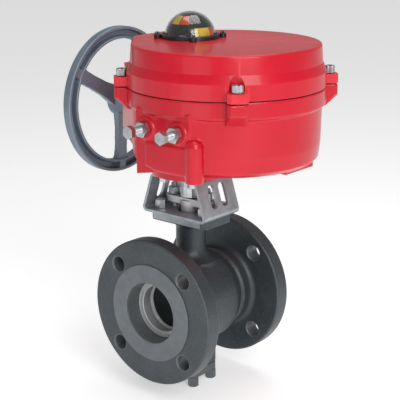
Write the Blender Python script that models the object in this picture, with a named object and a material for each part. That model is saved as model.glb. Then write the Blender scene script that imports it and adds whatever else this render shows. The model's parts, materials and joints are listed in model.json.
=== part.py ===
"""Motorized quarter-turn valve: an electric worm-gear actuator with a manual handwheel, carried by a
slotted bracket on a flanged V-port segment valve of nominal size 3 inch, pressure class 150.

Frame: metres, +Z up along the valve stem. The origin is where the stem axis crosses the pipe axis.
The inlet flange faces -Y and the handwheel is on the -X side. The valve is drawn partly open.
"""

import math

import bmesh
import bpy
from mathutils import Matrix, Vector

MM = 0.001
GAP = 0.3 * MM                      # clearance left between two pieces that touch
ROUND = 40                          # sides of a large round
SMALL_ROUND = 16                    # sides of a bush or a pin
BOLT_ROUND = 10                     # sides of a bolt shank or a bolt hole

# ---------------------------------------------------------------- driving dimensions: valve
INLET_FACE = -82.5 * MM            # raised faces, along the pipe axis
OUTLET_FACE = 86.5 * MM
FLANGE_RADIUS = 190.5 / 2 * MM
FLANGE_THICKNESS = 23.2 * MM        # including the raised face
RAISED_FACE_RADIUS = 127 / 2 * MM
RAISED_FACE_HEIGHT = 1.6 * MM
FLANGE_BOLT_CIRCLE = 152.4 / 2 * MM
FLANGE_HOLE_RADIUS = 19 / 2 * MM
BORE_RADIUS = 39 * MM
CAVITY_RADIUS = 52 * MM
CAVITY_FRONT = -38 * MM
CAVITY_BACK = 44 * MM
BARREL_RADIUS = 61 * MM
GROOVE_RADIUS = 51 * MM             # narrowest place, between the barrel and the outlet flange
NECK_RADIUS = 19.5 * MM
PAD_BOTTOM = 104.7 * MM
PAD_TOP = 115.4 * MM
PAD_HALF_X = 46 * MM
PAD_HALF_Y = 29 * MM
PAD_CHAMFER = 6 * MM
STEM_RADIUS = 7.2 * MM
STEM_HOLE_RADIUS = 11 * MM
GLAND_NECK_RADIUS = 13 * MM
GLAND_STUD_OFFSET = 27 * MM
GLAND_STUD_RADIUS = 5 * MM
LOWER_BOSS_BOTTOM = -93 * MM
COVER_PLATE_HALF = 24 * MM
COVER_PLATE_BOTTOM = -105 * MM
COVER_BOLT_OFFSET = 18 * MM
SEGMENT_RADIUS = 48 * MM
SEGMENT_THICKNESS = 6 * MM
SEAT_RADIUS = 32 * MM
ARM_REACH = 29 * MM                 # the arms stay clear of the seat ring as the segment turns
SEGMENT_HUB_RADIUS = 15 * MM
VALVE_OPENING = 60                  # degrees the segment is turned from closed, as drawn

# ---------------------------------------------------------------- driving dimensions: bracket
PLATE = 3.5 * MM
BRACKET_BOTTOM = PAD_TOP + GAP
BRACKET_TOP = 168 * MM
BRACKET_BOTTOM_HALF = 54 * MM
BRACKET_TOP_HALF = 37 * MM
BRACKET_HALF_Y = 35 * MM
BRACKET_PAD_BOLT = (36 * MM, 18 * MM)
DRIVE_BOLT_OFFSET = 24.75 * MM      # four bolts on a 70 mm circle

# ---------------------------------------------------------------- driving dimensions: actuator
DRUM_X = 57 * MM                    # drum axis, measured from the stem axis
DRUM_RADIUS = 117 * MM
RING_RADIUS = 121.5 * MM
WALL = 6 * MM
MOUNT_FACE = BRACKET_TOP + GAP
BASE_BOTTOM = 197.5 * MM
RING_BOTTOM = 266 * MM
BASE_TOP = 288 * MM
SEAL_THICKNESS = 0.9 * MM
COVER_BOTTOM = BASE_TOP + SEAL_THICKNESS + 2 * GAP
SHOULDER_LOW = 308 * MM             # the cover steps in from the ring between these heights
SHOULDER_HIGH = 319 * MM
COVER_TOP = 340.3 * MM
NOSE_TIP = -70 * MM                  # the ring is drawn out over the stem axis
NOSE_HALF = 46 * MM
EAR_RADIUS = 127 * MM
EAR_ROOT = 113 * MM
EAR_REACH = 136.5 * MM
EAR_HALF_WIDTH = 12.5 * MM
EAR_TOP = 300.5 * MM
EAR_ANGLES = (-136, -46, 44, 134)
POCKET_RADIUS = 9.8 * MM           # clears a screw head beside the cover
DOME_RADIUS = 31.7 * MM
DOME_CENTRE = COVER_TOP + 1 * MM
DOME_FLANGE = 34.2 * MM
DOME_SCREW_CIRCLE = 40.5 * MM
DOME_SCREW_ANGLES = (-135, -45, 45, 135)
SHAFT_LEVEL = 248.5 * MM            # height of the handwheel shaft
STOP_LEVEL = 249.4 * MM             # height of the stop bolts
STOP_MIDDLE = DRUM_X - 1.5 * MM
STOP_SPACING = 24.5 * MM            # each side of the middle of the two bolts
STOP_FACE = -DRUM_RADIUS
BOSS_FACE = STOP_FACE - 2.5 * MM
HEAD_FACE = BOSS_FACE - 23 * MM
CONDUIT_X = 145 * MM                # the two cable entries face down
CONDUIT_ENTRIES = (-1 * MM, 25 * MM)
CONDUIT_FACE = 193.5 * MM
PLUG_RADIUS = 9 * MM
BLOCK_LEFT = 14.5 * MM
BLOCK_RIGHT = 96 * MM
BLOCK_TOP = 272 * MM
COLUMN_PLACE = (99.4 * MM, -111.5 * MM)
COLUMN_RADIUS = 10.7 * MM

# ---------------------------------------------------------------- driving dimensions: gears
MODULE = 2 * MM
WHEEL_TEETH = 30
WORM_PITCH_RADIUS = 9 * MM
WORM_Y = MODULE * WHEEL_TEETH / 2 + WORM_PITCH_RADIUS
HAND_GEAR_TEETH = 20                # equal gears on the handwheel shaft and on the worm shaft
HAND_GEAR_CENTRES = MODULE * HAND_GEAR_TEETH + 0.2 * MM
WORM_LEVEL = SHAFT_LEVEL - math.sqrt(HAND_GEAR_CENTRES ** 2 - WORM_Y ** 2)
HAND_GEAR_X = (-40 * MM, -33 * MM)
STOP_PINION_TEETH = 19              # on the drive sleeve
STOP_TEETH = 38                     # full circle count of the sector gear on the drum axis
SLEEVE_RADIUS = 15 * MM
STOP_SWING = 22.5                   # degrees each side of mid travel
STOP_REACH = 60 * MM                # drum axis to the faces that meet the stop bolts
STOP_GEAR_LEVELS = (262 * MM, 268 * MM)
LEVER_LEVELS = (244.5 * MM, 256 * MM)

# ---------------------------------------------------------------- driving dimensions: handwheel
RIM_RADIUS = 96.5 * MM
RIM_OUTBOARD = -131 * MM
RIM_INBOARD = -118 * MM
RIM_INNER_RADIUS = 80.4 * MM
RIM_WALL = 4 * MM
HUB_RADIUS = 16 * MM
SPOKE_ANGLES = (30, 150, 270)


# ---------------------------------------------------------------- helpers
def clear_scene():
    """Remove every object of the starting scene."""
    for old in list(bpy.data.objects):
        bpy.data.objects.remove(old)


def material(name, colour, roughness, metallic=0.0, alpha=1.0):
    """A Principled material with one colour."""
    made = bpy.data.materials.new(name)
    made.use_nodes = True
    shader = made.node_tree.nodes["Principled BSDF"]
    shader.inputs["Base Color"].default_value = (*colour, 1.0)
    shader.inputs["Roughness"].default_value = roughness
    shader.inputs["Metallic"].default_value = metallic
    shader.inputs["Alpha"].default_value = alpha
    return made


def add_object(name, mesh_builder, finish=None, smooth_angle=35):
    """Turn a bmesh into a named object, shaded smooth between sharp edges."""
    bmesh.ops.recalc_face_normals(mesh_builder, faces=mesh_builder.faces)
    mesh = bpy.data.meshes.new(name)
    mesh_builder.to_mesh(mesh)
    mesh_builder.free()
    mesh.shade_smooth()
    mesh.set_sharp_from_angle(angle=math.radians(smooth_angle))
    made = bpy.data.objects.new(name, mesh)
    bpy.context.scene.collection.objects.link(made)
    if finish is not None:
        made.data.materials.append(finish)
    return made


def turned(outline, segments=ROUND):
    """Spin a closed outline of (radius, height) points about Z; flat ends become single faces."""
    body = bmesh.new()
    rings = []
    for radius, height in outline:
        if radius == 0:
            rings.append(None)
            continue
        ring = []
        for step in range(segments):
            angle = math.tau * step / segments
            ring.append(body.verts.new((radius * math.cos(angle), radius * math.sin(angle), height)))
        rings.append(ring)
    for index, (_, height) in enumerate(outline):
        after = (index + 1) % len(outline)
        ring, after_ring = rings[index], rings[after]
        if ring is None and after_ring is None:
            continue
        if ring is not None and after_ring is not None:
            for step in range(segments):
                beside = (step + 1) % segments
                body.faces.new([ring[step], ring[beside], after_ring[beside], after_ring[step]])
            continue
        end_ring = after_ring if ring is None else ring
        if height == outline[after][1]:
            body.faces.new(end_ring)
            continue
        tip_height = height if ring is None else outline[after][1]
        tip = body.verts.new((0, 0, tip_height))
        for step in range(segments):
            body.faces.new([end_ring[step], end_ring[(step + 1) % segments], tip])
    return body


def prism(outline, bottom, top):
    """Extrude a closed (x, y) outline from one height to another."""
    body = bmesh.new()
    lower = [body.verts.new((x, y, bottom)) for x, y in outline]
    upper = [body.verts.new((x, y, top)) for x, y in outline]
    body.faces.new(list(reversed(lower)))
    body.faces.new(upper)
    count = len(outline)
    for index in range(count):
        after = (index + 1) % count
        body.faces.new([lower[index], lower[after], upper[after], upper[index]])
    return body


def block(low, high):
    """A rectangular block between two corners."""
    outline = [(low[0], low[1]), (high[0], low[1]), (high[0], high[1]), (low[0], high[1])]
    return prism(outline, low[2], high[2])


def rod(radius, bottom, top, segments=SMALL_ROUND, chamfer=0.0):
    """A round bar along Z with optional chamfered ends."""
    outline = [(0, bottom), (radius - chamfer, bottom)]
    if chamfer > 0:
        outline.append((radius, bottom + chamfer))
        outline.append((radius, top - chamfer))
    outline += [(radius - chamfer, top), (0, top)]
    return turned(outline, segments)


def tube(inner, outer, bottom, top, segments=SMALL_ROUND):
    """A plain ring along Z."""
    return turned([(inner, bottom), (outer, bottom), (outer, top), (inner, top)], segments)


def hexagon(across_flats):
    """The corners of a hexagon."""
    reach = across_flats / math.sqrt(3)
    return arc((0, 0), reach, 0, 300, 5)


def arc(centre, radius, start, end, steps):
    """Points on an arc, angles in degrees."""
    points = []
    for step in range(steps + 1):
        angle = math.radians(start + (end - start) * step / steps)
        points.append((centre[0] + radius * math.cos(angle), centre[1] + radius * math.sin(angle)))
    return points


def aim(body, axis):
    """Turn a shape made along +Z so that it points along another axis."""
    turn = Vector((0, 0, 1)).rotation_difference(Vector(axis)).to_matrix()
    bmesh.ops.rotate(body, cent=(0, 0, 0), matrix=turn, verts=body.verts)
    return body


def move(body, offset):
    """Shift a shape and return it."""
    bmesh.ops.translate(body, vec=Vector(offset), verts=body.verts)
    return body


def put_origin(made, place):
    """Put an object's origin on its joint's axis without moving its shape."""
    made.data.transform(Matrix.Translation(-Vector(place)))
    made.location = place


def boolean(target, tool_shape, operation):
    """Join or cut a target with a hidden helper object."""
    helper = add_object(f"{target.name}_helper", tool_shape)
    helper.hide_render = True
    helper.display_type = "WIRE"
    modifier = target.modifiers.new(operation.title(), "BOOLEAN")
    modifier.operation = operation
    modifier.solver = "EXACT"
    modifier.object = helper
    helper.matrix_world = Matrix.Identity(4)


def cut(target, tool_shape):
    """Take a shape away from a target."""
    boolean(target, tool_shape, "DIFFERENCE")


def fuse(target, tool_shape):
    """Add a shape to a target."""
    boolean(target, tool_shape, "UNION")


def along_y(outline, start, end):
    """Extrude an (x, z) outline along the Y axis."""
    shape = prism([(x, -z) for x, z in outline], start, end)
    lift = Matrix.Rotation(math.radians(-90), 3, "X")
    bmesh.ops.rotate(shape, cent=(0, 0, 0), matrix=lift, verts=shape.verts)
    return shape


def turned_along(outline, axis, segments=ROUND):
    """A turned solid whose outline heights run along a world axis."""
    return aim(turned(outline, segments), axis)


def diagonal_points(half_x, half_y=None):
    """The four corners of a rectangle about the origin."""
    reach = half_x if half_y is None else half_y
    return [(-half_x, -reach), (half_x, -reach), (half_x, reach), (-half_x, reach)]


def bolt_hole(radius, reach):
    """A round cutter along Z that reaches the same distance both ways."""
    return rod(radius, -reach, reach, BOLT_ROUND)


def hex_bolt(shank_radius, length, across_flats, head_height):
    """A hexagon-head bolt: shank up from the origin, head below it."""
    body = rod(shank_radius, -head_height / 2, length, segments=BOLT_ROUND, chamfer=shank_radius * 0.15)
    head = prism(hexagon(across_flats), -head_height, 0)
    return body, head


def add_hex_bolt(name, place, direction, sizes, finish):
    """Place a hexagon bolt with the underside of its head at a point, shank along a direction."""
    shank_radius, length, across_flats, head_height = sizes
    shank, head = hex_bolt(shank_radius, length, across_flats, head_height)
    made = add_object(name, move(aim(head, direction), place), finish)
    fuse(made, move(aim(shank, direction), place))
    return made


def hex_nut(across_flats, hole_radius, bottom, top):
    """A hexagon nut along Z, with chamfered corners and an open hole."""
    corner = across_flats / math.sqrt(3)
    chamfer = 0.12 * (top - bottom)
    profile = [(hole_radius, bottom), (0.92 * corner, bottom), (corner, bottom + chamfer),
               (corner, top - chamfer), (0.92 * corner, top), (hole_radius, top)]
    body = turned(profile, 12)
    flat = across_flats / 2
    for point in body.verts:
        reach = math.hypot(point.co.x, point.co.y)
        between = abs(math.cos(3 * math.atan2(point.co.y, point.co.x))) < 0.5
        if between and reach > flat:
            point.co.x *= flat / reach
            point.co.y *= flat / reach
    return body


def gear_outline(teeth, phase=0.0, first=0, last=None):
    """The outline of a spur gear with straight-flanked teeth. Phase turns it, in tooth pitches.

    With first and last given, only those teeth are drawn, for a sector gear.
    """
    pitch_radius = MODULE * teeth / 2
    tip = pitch_radius + 0.8 * MODULE
    root = pitch_radius - 1.05 * MODULE
    corners = ((root, -0.24), (tip, -0.09), (tip, 0.09), (root, 0.24))
    points = []
    for tooth in range(first, teeth if last is None else last + 1):
        for radius, share in corners:
            angle = math.tau * (tooth + phase + share) / teeth
            points.append((radius * math.cos(angle), radius * math.sin(angle)))
    return points


# ---------------------------------------------------------------- materials
def make_materials():
    """Every finish of the object, by name."""
    return {
        "red_paint": material("red_paint", (0.70, 0.03, 0.045), 0.32),
        "cast_steel": material("cast_steel", (0.075, 0.085, 0.09), 0.5, 0.35),
        "machined_face": material("machined_face", (0.17, 0.18, 0.19), 0.4, 0.8),
        "bracket_steel": material("bracket_steel", (0.33, 0.34, 0.34), 0.38, 0.9),
        "bright_steel": material("bright_steel", (0.62, 0.65, 0.67), 0.24, 1.0),
        "dark_steel": material("dark_steel", (0.10, 0.10, 0.11), 0.4, 0.9),
        "wheel_paint": material("wheel_paint", (0.20, 0.25, 0.29), 0.42, 0.5),
        "clear_dome": material("clear_dome", (0.9, 0.92, 0.93), 0.03, 0.0, 0.25),
        "black_plastic": material("black_plastic", (0.012, 0.012, 0.013), 0.35),
        "yellow_plastic": material("yellow_plastic", (0.85, 0.62, 0.03), 0.4),
        "bronze": material("bronze", (0.50, 0.32, 0.12), 0.35, 1.0),
        "seal_rubber": material("seal_rubber", (0.01, 0.01, 0.01), 0.7),
        "seat_polymer": material("seat_polymer", (0.80, 0.79, 0.74), 0.4),
        "graphite": material("graphite", (0.05, 0.05, 0.055), 0.6),
        "motor_grey": material("motor_grey", (0.30, 0.31, 0.32), 0.45, 0.7),
        "board_green": material("board_green", (0.03, 0.18, 0.07), 0.5),
    }


# ---------------------------------------------------------------- valve
def valve_body_outline():
    """Half section of the outside of the valve body along the pipe: (radius, distance along Y)."""
    inlet_back = INLET_FACE + FLANGE_THICKNESS
    outlet_back = OUTLET_FACE - FLANGE_THICKNESS
    fillet = 7 * MM
    inlet_rim = INLET_FACE + RAISED_FACE_HEIGHT
    outline = [(0, INLET_FACE), (RAISED_FACE_RADIUS, INLET_FACE), (RAISED_FACE_RADIUS, inlet_rim),
               (FLANGE_RADIUS, inlet_rim), (FLANGE_RADIUS, inlet_back)]
    outline += arc((BARREL_RADIUS + fillet, inlet_back + fillet), fillet, 270, 180, 3)
    outline += [(BARREL_RADIUS, 22 * MM), (GROOVE_RADIUS + 1 * MM, 38 * MM), (GROOVE_RADIUS, 42 * MM),
                (GROOVE_RADIUS + 3 * MM, 46 * MM)]
    outline += arc((GROOVE_RADIUS + 2 * MM + fillet, outlet_back - fillet), fillet, 180, 90, 3)
    outline += [(FLANGE_RADIUS, outlet_back), (FLANGE_RADIUS, OUTLET_FACE - RAISED_FACE_HEIGHT),
                (RAISED_FACE_RADIUS, OUTLET_FACE - RAISED_FACE_HEIGHT), (RAISED_FACE_RADIUS, OUTLET_FACE),
                (0, OUTLET_FACE)]
    return outline


def bore_outline():
    """Half section of the space inside the valve body, running past both faces."""
    start = INLET_FACE - 5 * MM
    end = OUTLET_FACE + 5 * MM
    return [(0, start), (BORE_RADIUS, start), (BORE_RADIUS, CAVITY_FRONT), (CAVITY_RADIUS, CAVITY_FRONT),
            (CAVITY_RADIUS, CAVITY_BACK - 13 * MM), (BORE_RADIUS, CAVITY_BACK), (BORE_RADIUS, end), (0, end)]


def neck_shape():
    """The neck that carries the stem, flared where it leaves the barrel."""
    foot = 12 * MM
    outline = [(0, 40 * MM), (33 * MM, 40 * MM), (33 * MM, 50 * MM)]
    outline += arc((NECK_RADIUS + foot, 68 * MM), foot, 260, 180, 3)
    outline += [(NECK_RADIUS, PAD_BOTTOM + 2 * MM), (0, PAD_BOTTOM + 2 * MM)]
    return turned(outline, 28)


def chamfered_rectangle(half_x, half_y, chamfer):
    """A rectangle with its four corners cut."""
    return [
        (-half_x + chamfer, -half_y), (half_x - chamfer, -half_y), (half_x, -half_y + chamfer),
        (half_x, half_y - chamfer), (half_x - chamfer, half_y), (-half_x + chamfer, half_y),
        (-half_x, half_y - chamfer), (-half_x, -half_y + chamfer),
    ]


def make_valve_body(finish):
    """The one-piece casting: two flanges, the barrel, the neck, the top pad and the lower boss."""
    body = add_object("valve_body", turned_along(valve_body_outline(), (0, 1, 0)), finish)
    fuse(body, neck_shape())
    fuse(body, prism(chamfered_rectangle(PAD_HALF_X, PAD_HALF_Y, PAD_CHAMFER), PAD_BOTTOM, PAD_TOP))
    fuse(body, prism(chamfered_rectangle(25 * MM, 25 * MM, 4 * MM), LOWER_BOSS_BOTTOM, -50 * MM))
    cut(body, turned_along(bore_outline(), (0, 1, 0), 40))
    cut(body, rod(STEM_HOLE_RADIUS, 30 * MM, PAD_TOP + 5 * MM))
    cut(body, rod(STEM_RADIUS + GAP, -100 * MM, -30 * MM))
    for middle in (INLET_FACE + FLANGE_THICKNESS / 2, OUTLET_FACE - FLANGE_THICKNESS / 2):
        for angle in (45, 135, 225, 315):
            hole = aim(rod(FLANGE_HOLE_RADIUS, -16 * MM, 16 * MM, 14), (0, 1, 0))
            across = FLANGE_BOLT_CIRCLE * math.cos(math.radians(angle))
            upward = FLANGE_BOLT_CIRCLE * math.sin(math.radians(angle))
            cut(body, move(hole, (across, middle, upward)))
    for x in (-GLAND_STUD_OFFSET, GLAND_STUD_OFFSET):
        cut(body, move(bolt_hole(GLAND_STUD_RADIUS + GAP, 14 * MM), (x, 0, PAD_TOP)))
    for x, y in diagonal_points(*BRACKET_PAD_BOLT):
        cut(body, move(bolt_hole(4.3 * MM, 20 * MM), (x, y, PAD_TOP)))
    for x, y in diagonal_points(COVER_BOLT_OFFSET):
        cut(body, move(bolt_hole(3.4 * MM, 14 * MM), (x, y, LOWER_BOSS_BOTTOM)))
    return body


def make_lower_cover(finishes):
    """The square cover under the valve, with its gasket and its four bolts."""
    gasket_top = LOWER_BOSS_BOTTOM - GAP
    gasket_bottom = gasket_top - 1.2 * MM
    outline = chamfered_rectangle(COVER_PLATE_HALF, COVER_PLATE_HALF, 4 * MM)
    cover = add_object("lower_cover", prism(outline, COVER_PLATE_BOTTOM, gasket_bottom - GAP),
                       finishes["cast_steel"])
    gasket = add_object("lower_cover_gasket", prism(outline, gasket_bottom, gasket_top),
                        finishes["graphite"])
    cut(gasket, rod(STEM_RADIUS + GAP, -100 * MM, -90 * MM))
    for number, (x, y) in enumerate(diagonal_points(COVER_BOLT_OFFSET), start=1):
        cut(cover, move(bolt_hole(3.4 * MM, 20 * MM), (x, y, COVER_PLATE_BOTTOM)))
        cut(gasket, move(bolt_hole(3.4 * MM, 20 * MM), (x, y, COVER_PLATE_BOTTOM)))
        add_hex_bolt(f"lower_cover_bolt_{number}", (x, y, COVER_PLATE_BOTTOM - GAP), (0, 0, 1),
                     (3 * MM, 22 * MM, 12.5 * MM, 12 * MM), finishes["dark_steel"])


def make_seats(finishes):
    """The retainer seen inside the inlet bore and the seat ring that the segment turns against."""
    outer = BORE_RADIUS - GAP
    retainer = [(31 * MM, -60 * MM), (outer, -60 * MM), (outer, -45 * MM), (SEAT_RADIUS, -45 * MM),
                (31 * MM, -57.5 * MM)]
    add_object("seat_retainer", turned_along(retainer, (0, 1, 0)), finishes["bright_steel"])
    contact = SEGMENT_RADIUS + 3 * GAP
    inner_end = -math.sqrt(contact ** 2 - SEAT_RADIUS ** 2)
    outer_end = -math.sqrt(contact ** 2 - outer ** 2)
    seat = [(SEAT_RADIUS, -45 * MM + GAP), (outer, -45 * MM + GAP), (outer, outer_end - 2.5 * MM),
            (SEAT_RADIUS, inner_end - 2.5 * MM)]
    add_object("seat_ring", turned_along(seat, (0, 1, 0)), finishes["seat_polymer"])


def segment_shell():
    """The spherical cap that closes the port, before it is turned to its drawn opening."""
    body = bmesh.new()
    columns = 10
    rows = 8
    half_width = math.radians(50)
    half_height = math.radians(47)
    layers = []
    for radius in (SEGMENT_RADIUS, SEGMENT_RADIUS - SEGMENT_THICKNESS):
        grid = []
        for row in range(rows + 1):
            elevation = half_height * (2 * row / rows - 1)
            line = []
            for column in range(columns + 1):
                azimuth = -math.pi / 2 + half_width * (2 * column / columns - 1)
                line.append(body.verts.new((
                    radius * math.cos(elevation) * math.cos(azimuth),
                    radius * math.cos(elevation) * math.sin(azimuth),
                    radius * math.sin(elevation))))
            grid.append(line)
        layers.append(grid)
    outer, inner = layers
    for row in range(rows):
        for column in range(columns):
            for grid in layers:
                body.faces.new([grid[row][column], grid[row][column + 1],
                                grid[row + 1][column + 1], grid[row + 1][column]])
    edges = []
    for column in (0, columns):
        edges.append([(row, column) for row in range(rows + 1)])
    for row in (0, rows):
        edges.append([(row, column) for column in range(columns + 1)])
    for edge in edges:
        for (row_a, column_a), (row_b, column_b) in zip(edge, edge[1:]):
            body.faces.new([outer[row_a][column_a], outer[row_b][column_b],
                            inner[row_b][column_b], inner[row_a][column_a]])
    return body


def make_segment(finish):
    """The V-port segment: a spherical shell with a V notch, an arm and a hub at each end."""
    turn = Matrix.Rotation(math.radians(VALVE_OPENING), 3, "Z")

    def opened(shape):
        bmesh.ops.rotate(shape, cent=(0, 0, 0), matrix=turn, verts=shape.verts)
        return shape

    segment = add_object("v_port_segment", opened(segment_shell()), finish)
    for low, high in ((31 * MM, 40 * MM), (-40 * MM, -31 * MM)):
        outline = arc((0, 0), ARM_REACH, -129, -51, 6) + arc((0, 0), SEGMENT_HUB_RADIUS, 15, 165, 8)
        fuse(segment, opened(prism(outline, low, high)))
    notch = [(-60 * MM, 20 * MM), (-21 * MM, 0), (-60 * MM, -20 * MM)]
    notch_shape = aim(prism(notch, 20 * MM, 70 * MM), (0, -1, 0))
    cut(segment, opened(notch_shape))
    cut(segment, rod(STEM_RADIUS + GAP, 25 * MM, 50 * MM))
    cut(segment, rod(STEM_RADIUS + GAP, -50 * MM, -25 * MM))
    return segment


def make_stem_parts(finishes):
    """Stem, lower trunnion, packing, gland and the coupling up to the drive sleeve."""
    add_object("valve_stem", rod(STEM_RADIUS, 32 * MM, 152 * MM, chamfer=1 * MM), finishes["bright_steel"])
    add_object("lower_trunnion", rod(STEM_RADIUS, LOWER_BOSS_BOTTOM + 2 * MM, -32 * MM, chamfer=1 * MM),
               finishes["bright_steel"])
    add_object("packing_rings", tube(STEM_RADIUS + GAP, STEM_HOLE_RADIUS - GAP, 88 * MM, 112 * MM),
               finishes["graphite"])
    plate_bottom = 127.5 * MM
    plate_top = 136 * MM
    half_long = 38 * MM
    outline = arc((half_long - 11 * MM, 0), 11 * MM, -90, 90, 6)
    outline += arc((-half_long + 11 * MM, 0), 11 * MM, 90, 270, 6)
    gland = add_object("gland_follower", prism(outline, plate_bottom, plate_top), finishes["bracket_steel"])
    fuse(gland, rod(STEM_HOLE_RADIUS - GAP, 112.5 * MM, plate_bottom + 2 * MM))
    fuse(gland, rod(GLAND_NECK_RADIUS, PAD_TOP + GAP, plate_bottom + 1.5 * MM))
    cut(gland, rod(STEM_RADIUS + GAP, 100 * MM, 140 * MM))
    for name, x in (("left", -GLAND_STUD_OFFSET), ("right", GLAND_STUD_OFFSET)):
        cut(gland, move(bolt_hole(GLAND_STUD_RADIUS + GAP, 10 * MM), (x, 0, 130 * MM)))
        stud = rod(GLAND_STUD_RADIUS, 102 * MM, 151 * MM, BOLT_ROUND, 0.8 * MM)
        add_object(f"gland_stud_{name}", move(stud, (x, 0, 0)), finishes["bright_steel"])
        add_object(f"gland_nut_{name}",
                   move(hex_nut(15 * MM, GLAND_STUD_RADIUS + GAP, plate_top + GAP, 145.5 * MM), (x, 0, 0)),
                   finishes["bright_steel"])
    coupling = add_object("stem_coupling", rod(14 * MM, 137 * MM, 163 * MM, chamfer=1 * MM),
                          finishes["bright_steel"])
    cut(coupling, rod(STEM_RADIUS + GAP, 130 * MM, 152 * MM + GAP))


def make_bracket(finish):
    """The slotted trapezoid bracket, bent from one strip and closed at the top."""
    inner_bottom = BRACKET_BOTTOM_HALF - PLATE
    inner_top = BRACKET_TOP_HALF - PLATE
    outer = [(-BRACKET_BOTTOM_HALF, BRACKET_BOTTOM), (BRACKET_BOTTOM_HALF, BRACKET_BOTTOM),
             (BRACKET_TOP_HALF, BRACKET_TOP), (-BRACKET_TOP_HALF, BRACKET_TOP)]
    inner = [(-inner_bottom, BRACKET_BOTTOM + PLATE), (inner_bottom, BRACKET_BOTTOM + PLATE),
             (inner_top, BRACKET_TOP - PLATE), (-inner_top, BRACKET_TOP - PLATE)]

    strip = along_y(outer, -BRACKET_HALF_Y, BRACKET_HALF_Y)
    bracket = add_object("mounting_bracket", strip, finish, smooth_angle=20)
    cut(bracket, along_y(inner, -BRACKET_HALF_Y - 5 * MM, BRACKET_HALF_Y + 5 * MM))
    slot_half = 6 * MM
    for y in (-10.4 * MM, 10.4 * MM):
        outline = arc((y, 154 * MM), slot_half, 0, 180, 6) + arc((y, 136 * MM), slot_half, 180, 360, 6)
        slot = aim(prism([(-z, across) for across, z in outline], -70 * MM, 70 * MM), (1, 0, 0))
        cut(bracket, slot)
    cut(bracket, rod(17.5 * MM, BRACKET_BOTTOM - 5 * MM, BRACKET_BOTTOM + PLATE + 3 * MM, 24))
    cut(bracket, rod(16.5 * MM, BRACKET_TOP - PLATE - 3 * MM, BRACKET_TOP + 5 * MM, 24))
    for x in (-GLAND_STUD_OFFSET, GLAND_STUD_OFFSET):
        cut(bracket, move(bolt_hole(GLAND_STUD_RADIUS + GAP, 7 * MM), (x, 0, BRACKET_BOTTOM)))
    for x, y in diagonal_points(*BRACKET_PAD_BOLT):
        cut(bracket, move(bolt_hole(4.3 * MM, 7 * MM), (x, y, BRACKET_BOTTOM)))
    for x, y in diagonal_points(DRIVE_BOLT_OFFSET):
        cut(bracket, move(bolt_hole(4.3 * MM, 7 * MM), (x, y, BRACKET_TOP)))
    return bracket


def make_bracket_bolts(finishes):
    """Bolts down into the valve pad and bolts up into the actuator."""
    for number, (x, y) in enumerate(diagonal_points(*BRACKET_PAD_BOLT), start=1):
        add_hex_bolt(f"bracket_bolt_{number}", (x, y, BRACKET_BOTTOM + PLATE + GAP),
                                (0, 0, -1), (4 * MM, 14 * MM, 13 * MM, 11 * MM), finishes["bright_steel"])
    for number, (x, y) in enumerate(diagonal_points(DRIVE_BOLT_OFFSET), start=1):
        add_hex_bolt(f"actuator_bolt_{number}", (x, y, BRACKET_TOP - PLATE - GAP),
                                (0, 0, 1), (4 * MM, 16 * MM, 13 * MM, 7 * MM), finishes["bright_steel"])


# ---------------------------------------------------------------- actuator housing
def hull_with_nose(radius, nose_x, nose_half, steps=40):
    """The drum outline drawn out into a flat nose over the stem axis, counter-clockwise."""
    reach = math.hypot(DRUM_X - nose_x, nose_half)
    spread = math.degrees(math.acos(radius / reach))
    corner = math.degrees(math.atan2(nose_half, nose_x - DRUM_X))
    tangent = corner - spread
    return arc((DRUM_X, 0), radius, -tangent, tangent, steps) + [(nose_x, nose_half), (nose_x, -nose_half)]


def ear_outline():
    """A bolt lug on the drum, drawn pointing along +X from the drum axis."""
    chamfer = 4.5 * MM
    half = EAR_HALF_WIDTH
    return [(EAR_ROOT, -half), (EAR_REACH - chamfer, -half), (EAR_REACH, -half + chamfer),
            (EAR_REACH, half - chamfer), (EAR_REACH - chamfer, half), (EAR_ROOT, half)]


def on_drum(shape, angle):
    """Turn a shape drawn at the origin about the drum axis."""
    turn = Matrix.Rotation(math.radians(angle), 3, "Z")
    bmesh.ops.rotate(shape, cent=(0, 0, 0), matrix=turn, verts=shape.verts)
    return move(shape, (DRUM_X, 0, 0))


def ear_place(angle):
    """The axis of one cover screw."""
    return DRUM_X + EAR_RADIUS * math.cos(math.radians(angle)), EAR_RADIUS * math.sin(math.radians(angle))


def base_ear(bottom, top, slope):
    """A base lug whose foot slopes back to the drum."""
    shape = prism(ear_outline(), bottom, top)
    for corner in shape.verts:
        if corner.co.z < bottom + 1e-6:
            corner.co.z += slope * (corner.co.x - EAR_ROOT)
    return shape


def drum_outline():
    """Half section of the outside of the base drum: (radius, height)."""
    return [(0, BASE_BOTTOM), (DRUM_RADIUS - 11 * MM, BASE_BOTTOM),
            (DRUM_RADIUS - 0.5 * MM, BASE_BOTTOM + 9 * MM), (DRUM_RADIUS, RING_BOTTOM),
            (RING_RADIUS, RING_BOTTOM + 3 * MM), (RING_RADIUS, BASE_TOP), (0, BASE_TOP)]


def nose_outline(inset):
    """The side wall drawn out from the drum towards the handwheel, drawn in by a wall thickness."""
    tip = -75 * MM + inset
    return [(tip, -45 * MM + inset * 0.7), (-16 * MM + inset * 0.7, -91 * MM + inset), (30 * MM, -60 * MM),
            (30 * MM, 60 * MM), (-16 * MM + inset * 0.7, 91 * MM - inset), (tip, 45 * MM - inset * 0.7)]


def front_block():
    """The block that holds the stop bolts; its foot rises from the left corner."""
    foot = 199.5 * MM
    outline = [(BLOCK_LEFT, 192.5 * MM), (50 * MM, foot), (BLOCK_RIGHT, foot), (BLOCK_RIGHT, BLOCK_TOP),
               (BLOCK_LEFT, BLOCK_TOP)]
    return along_y(outline, STOP_FACE, -60 * MM)


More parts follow.
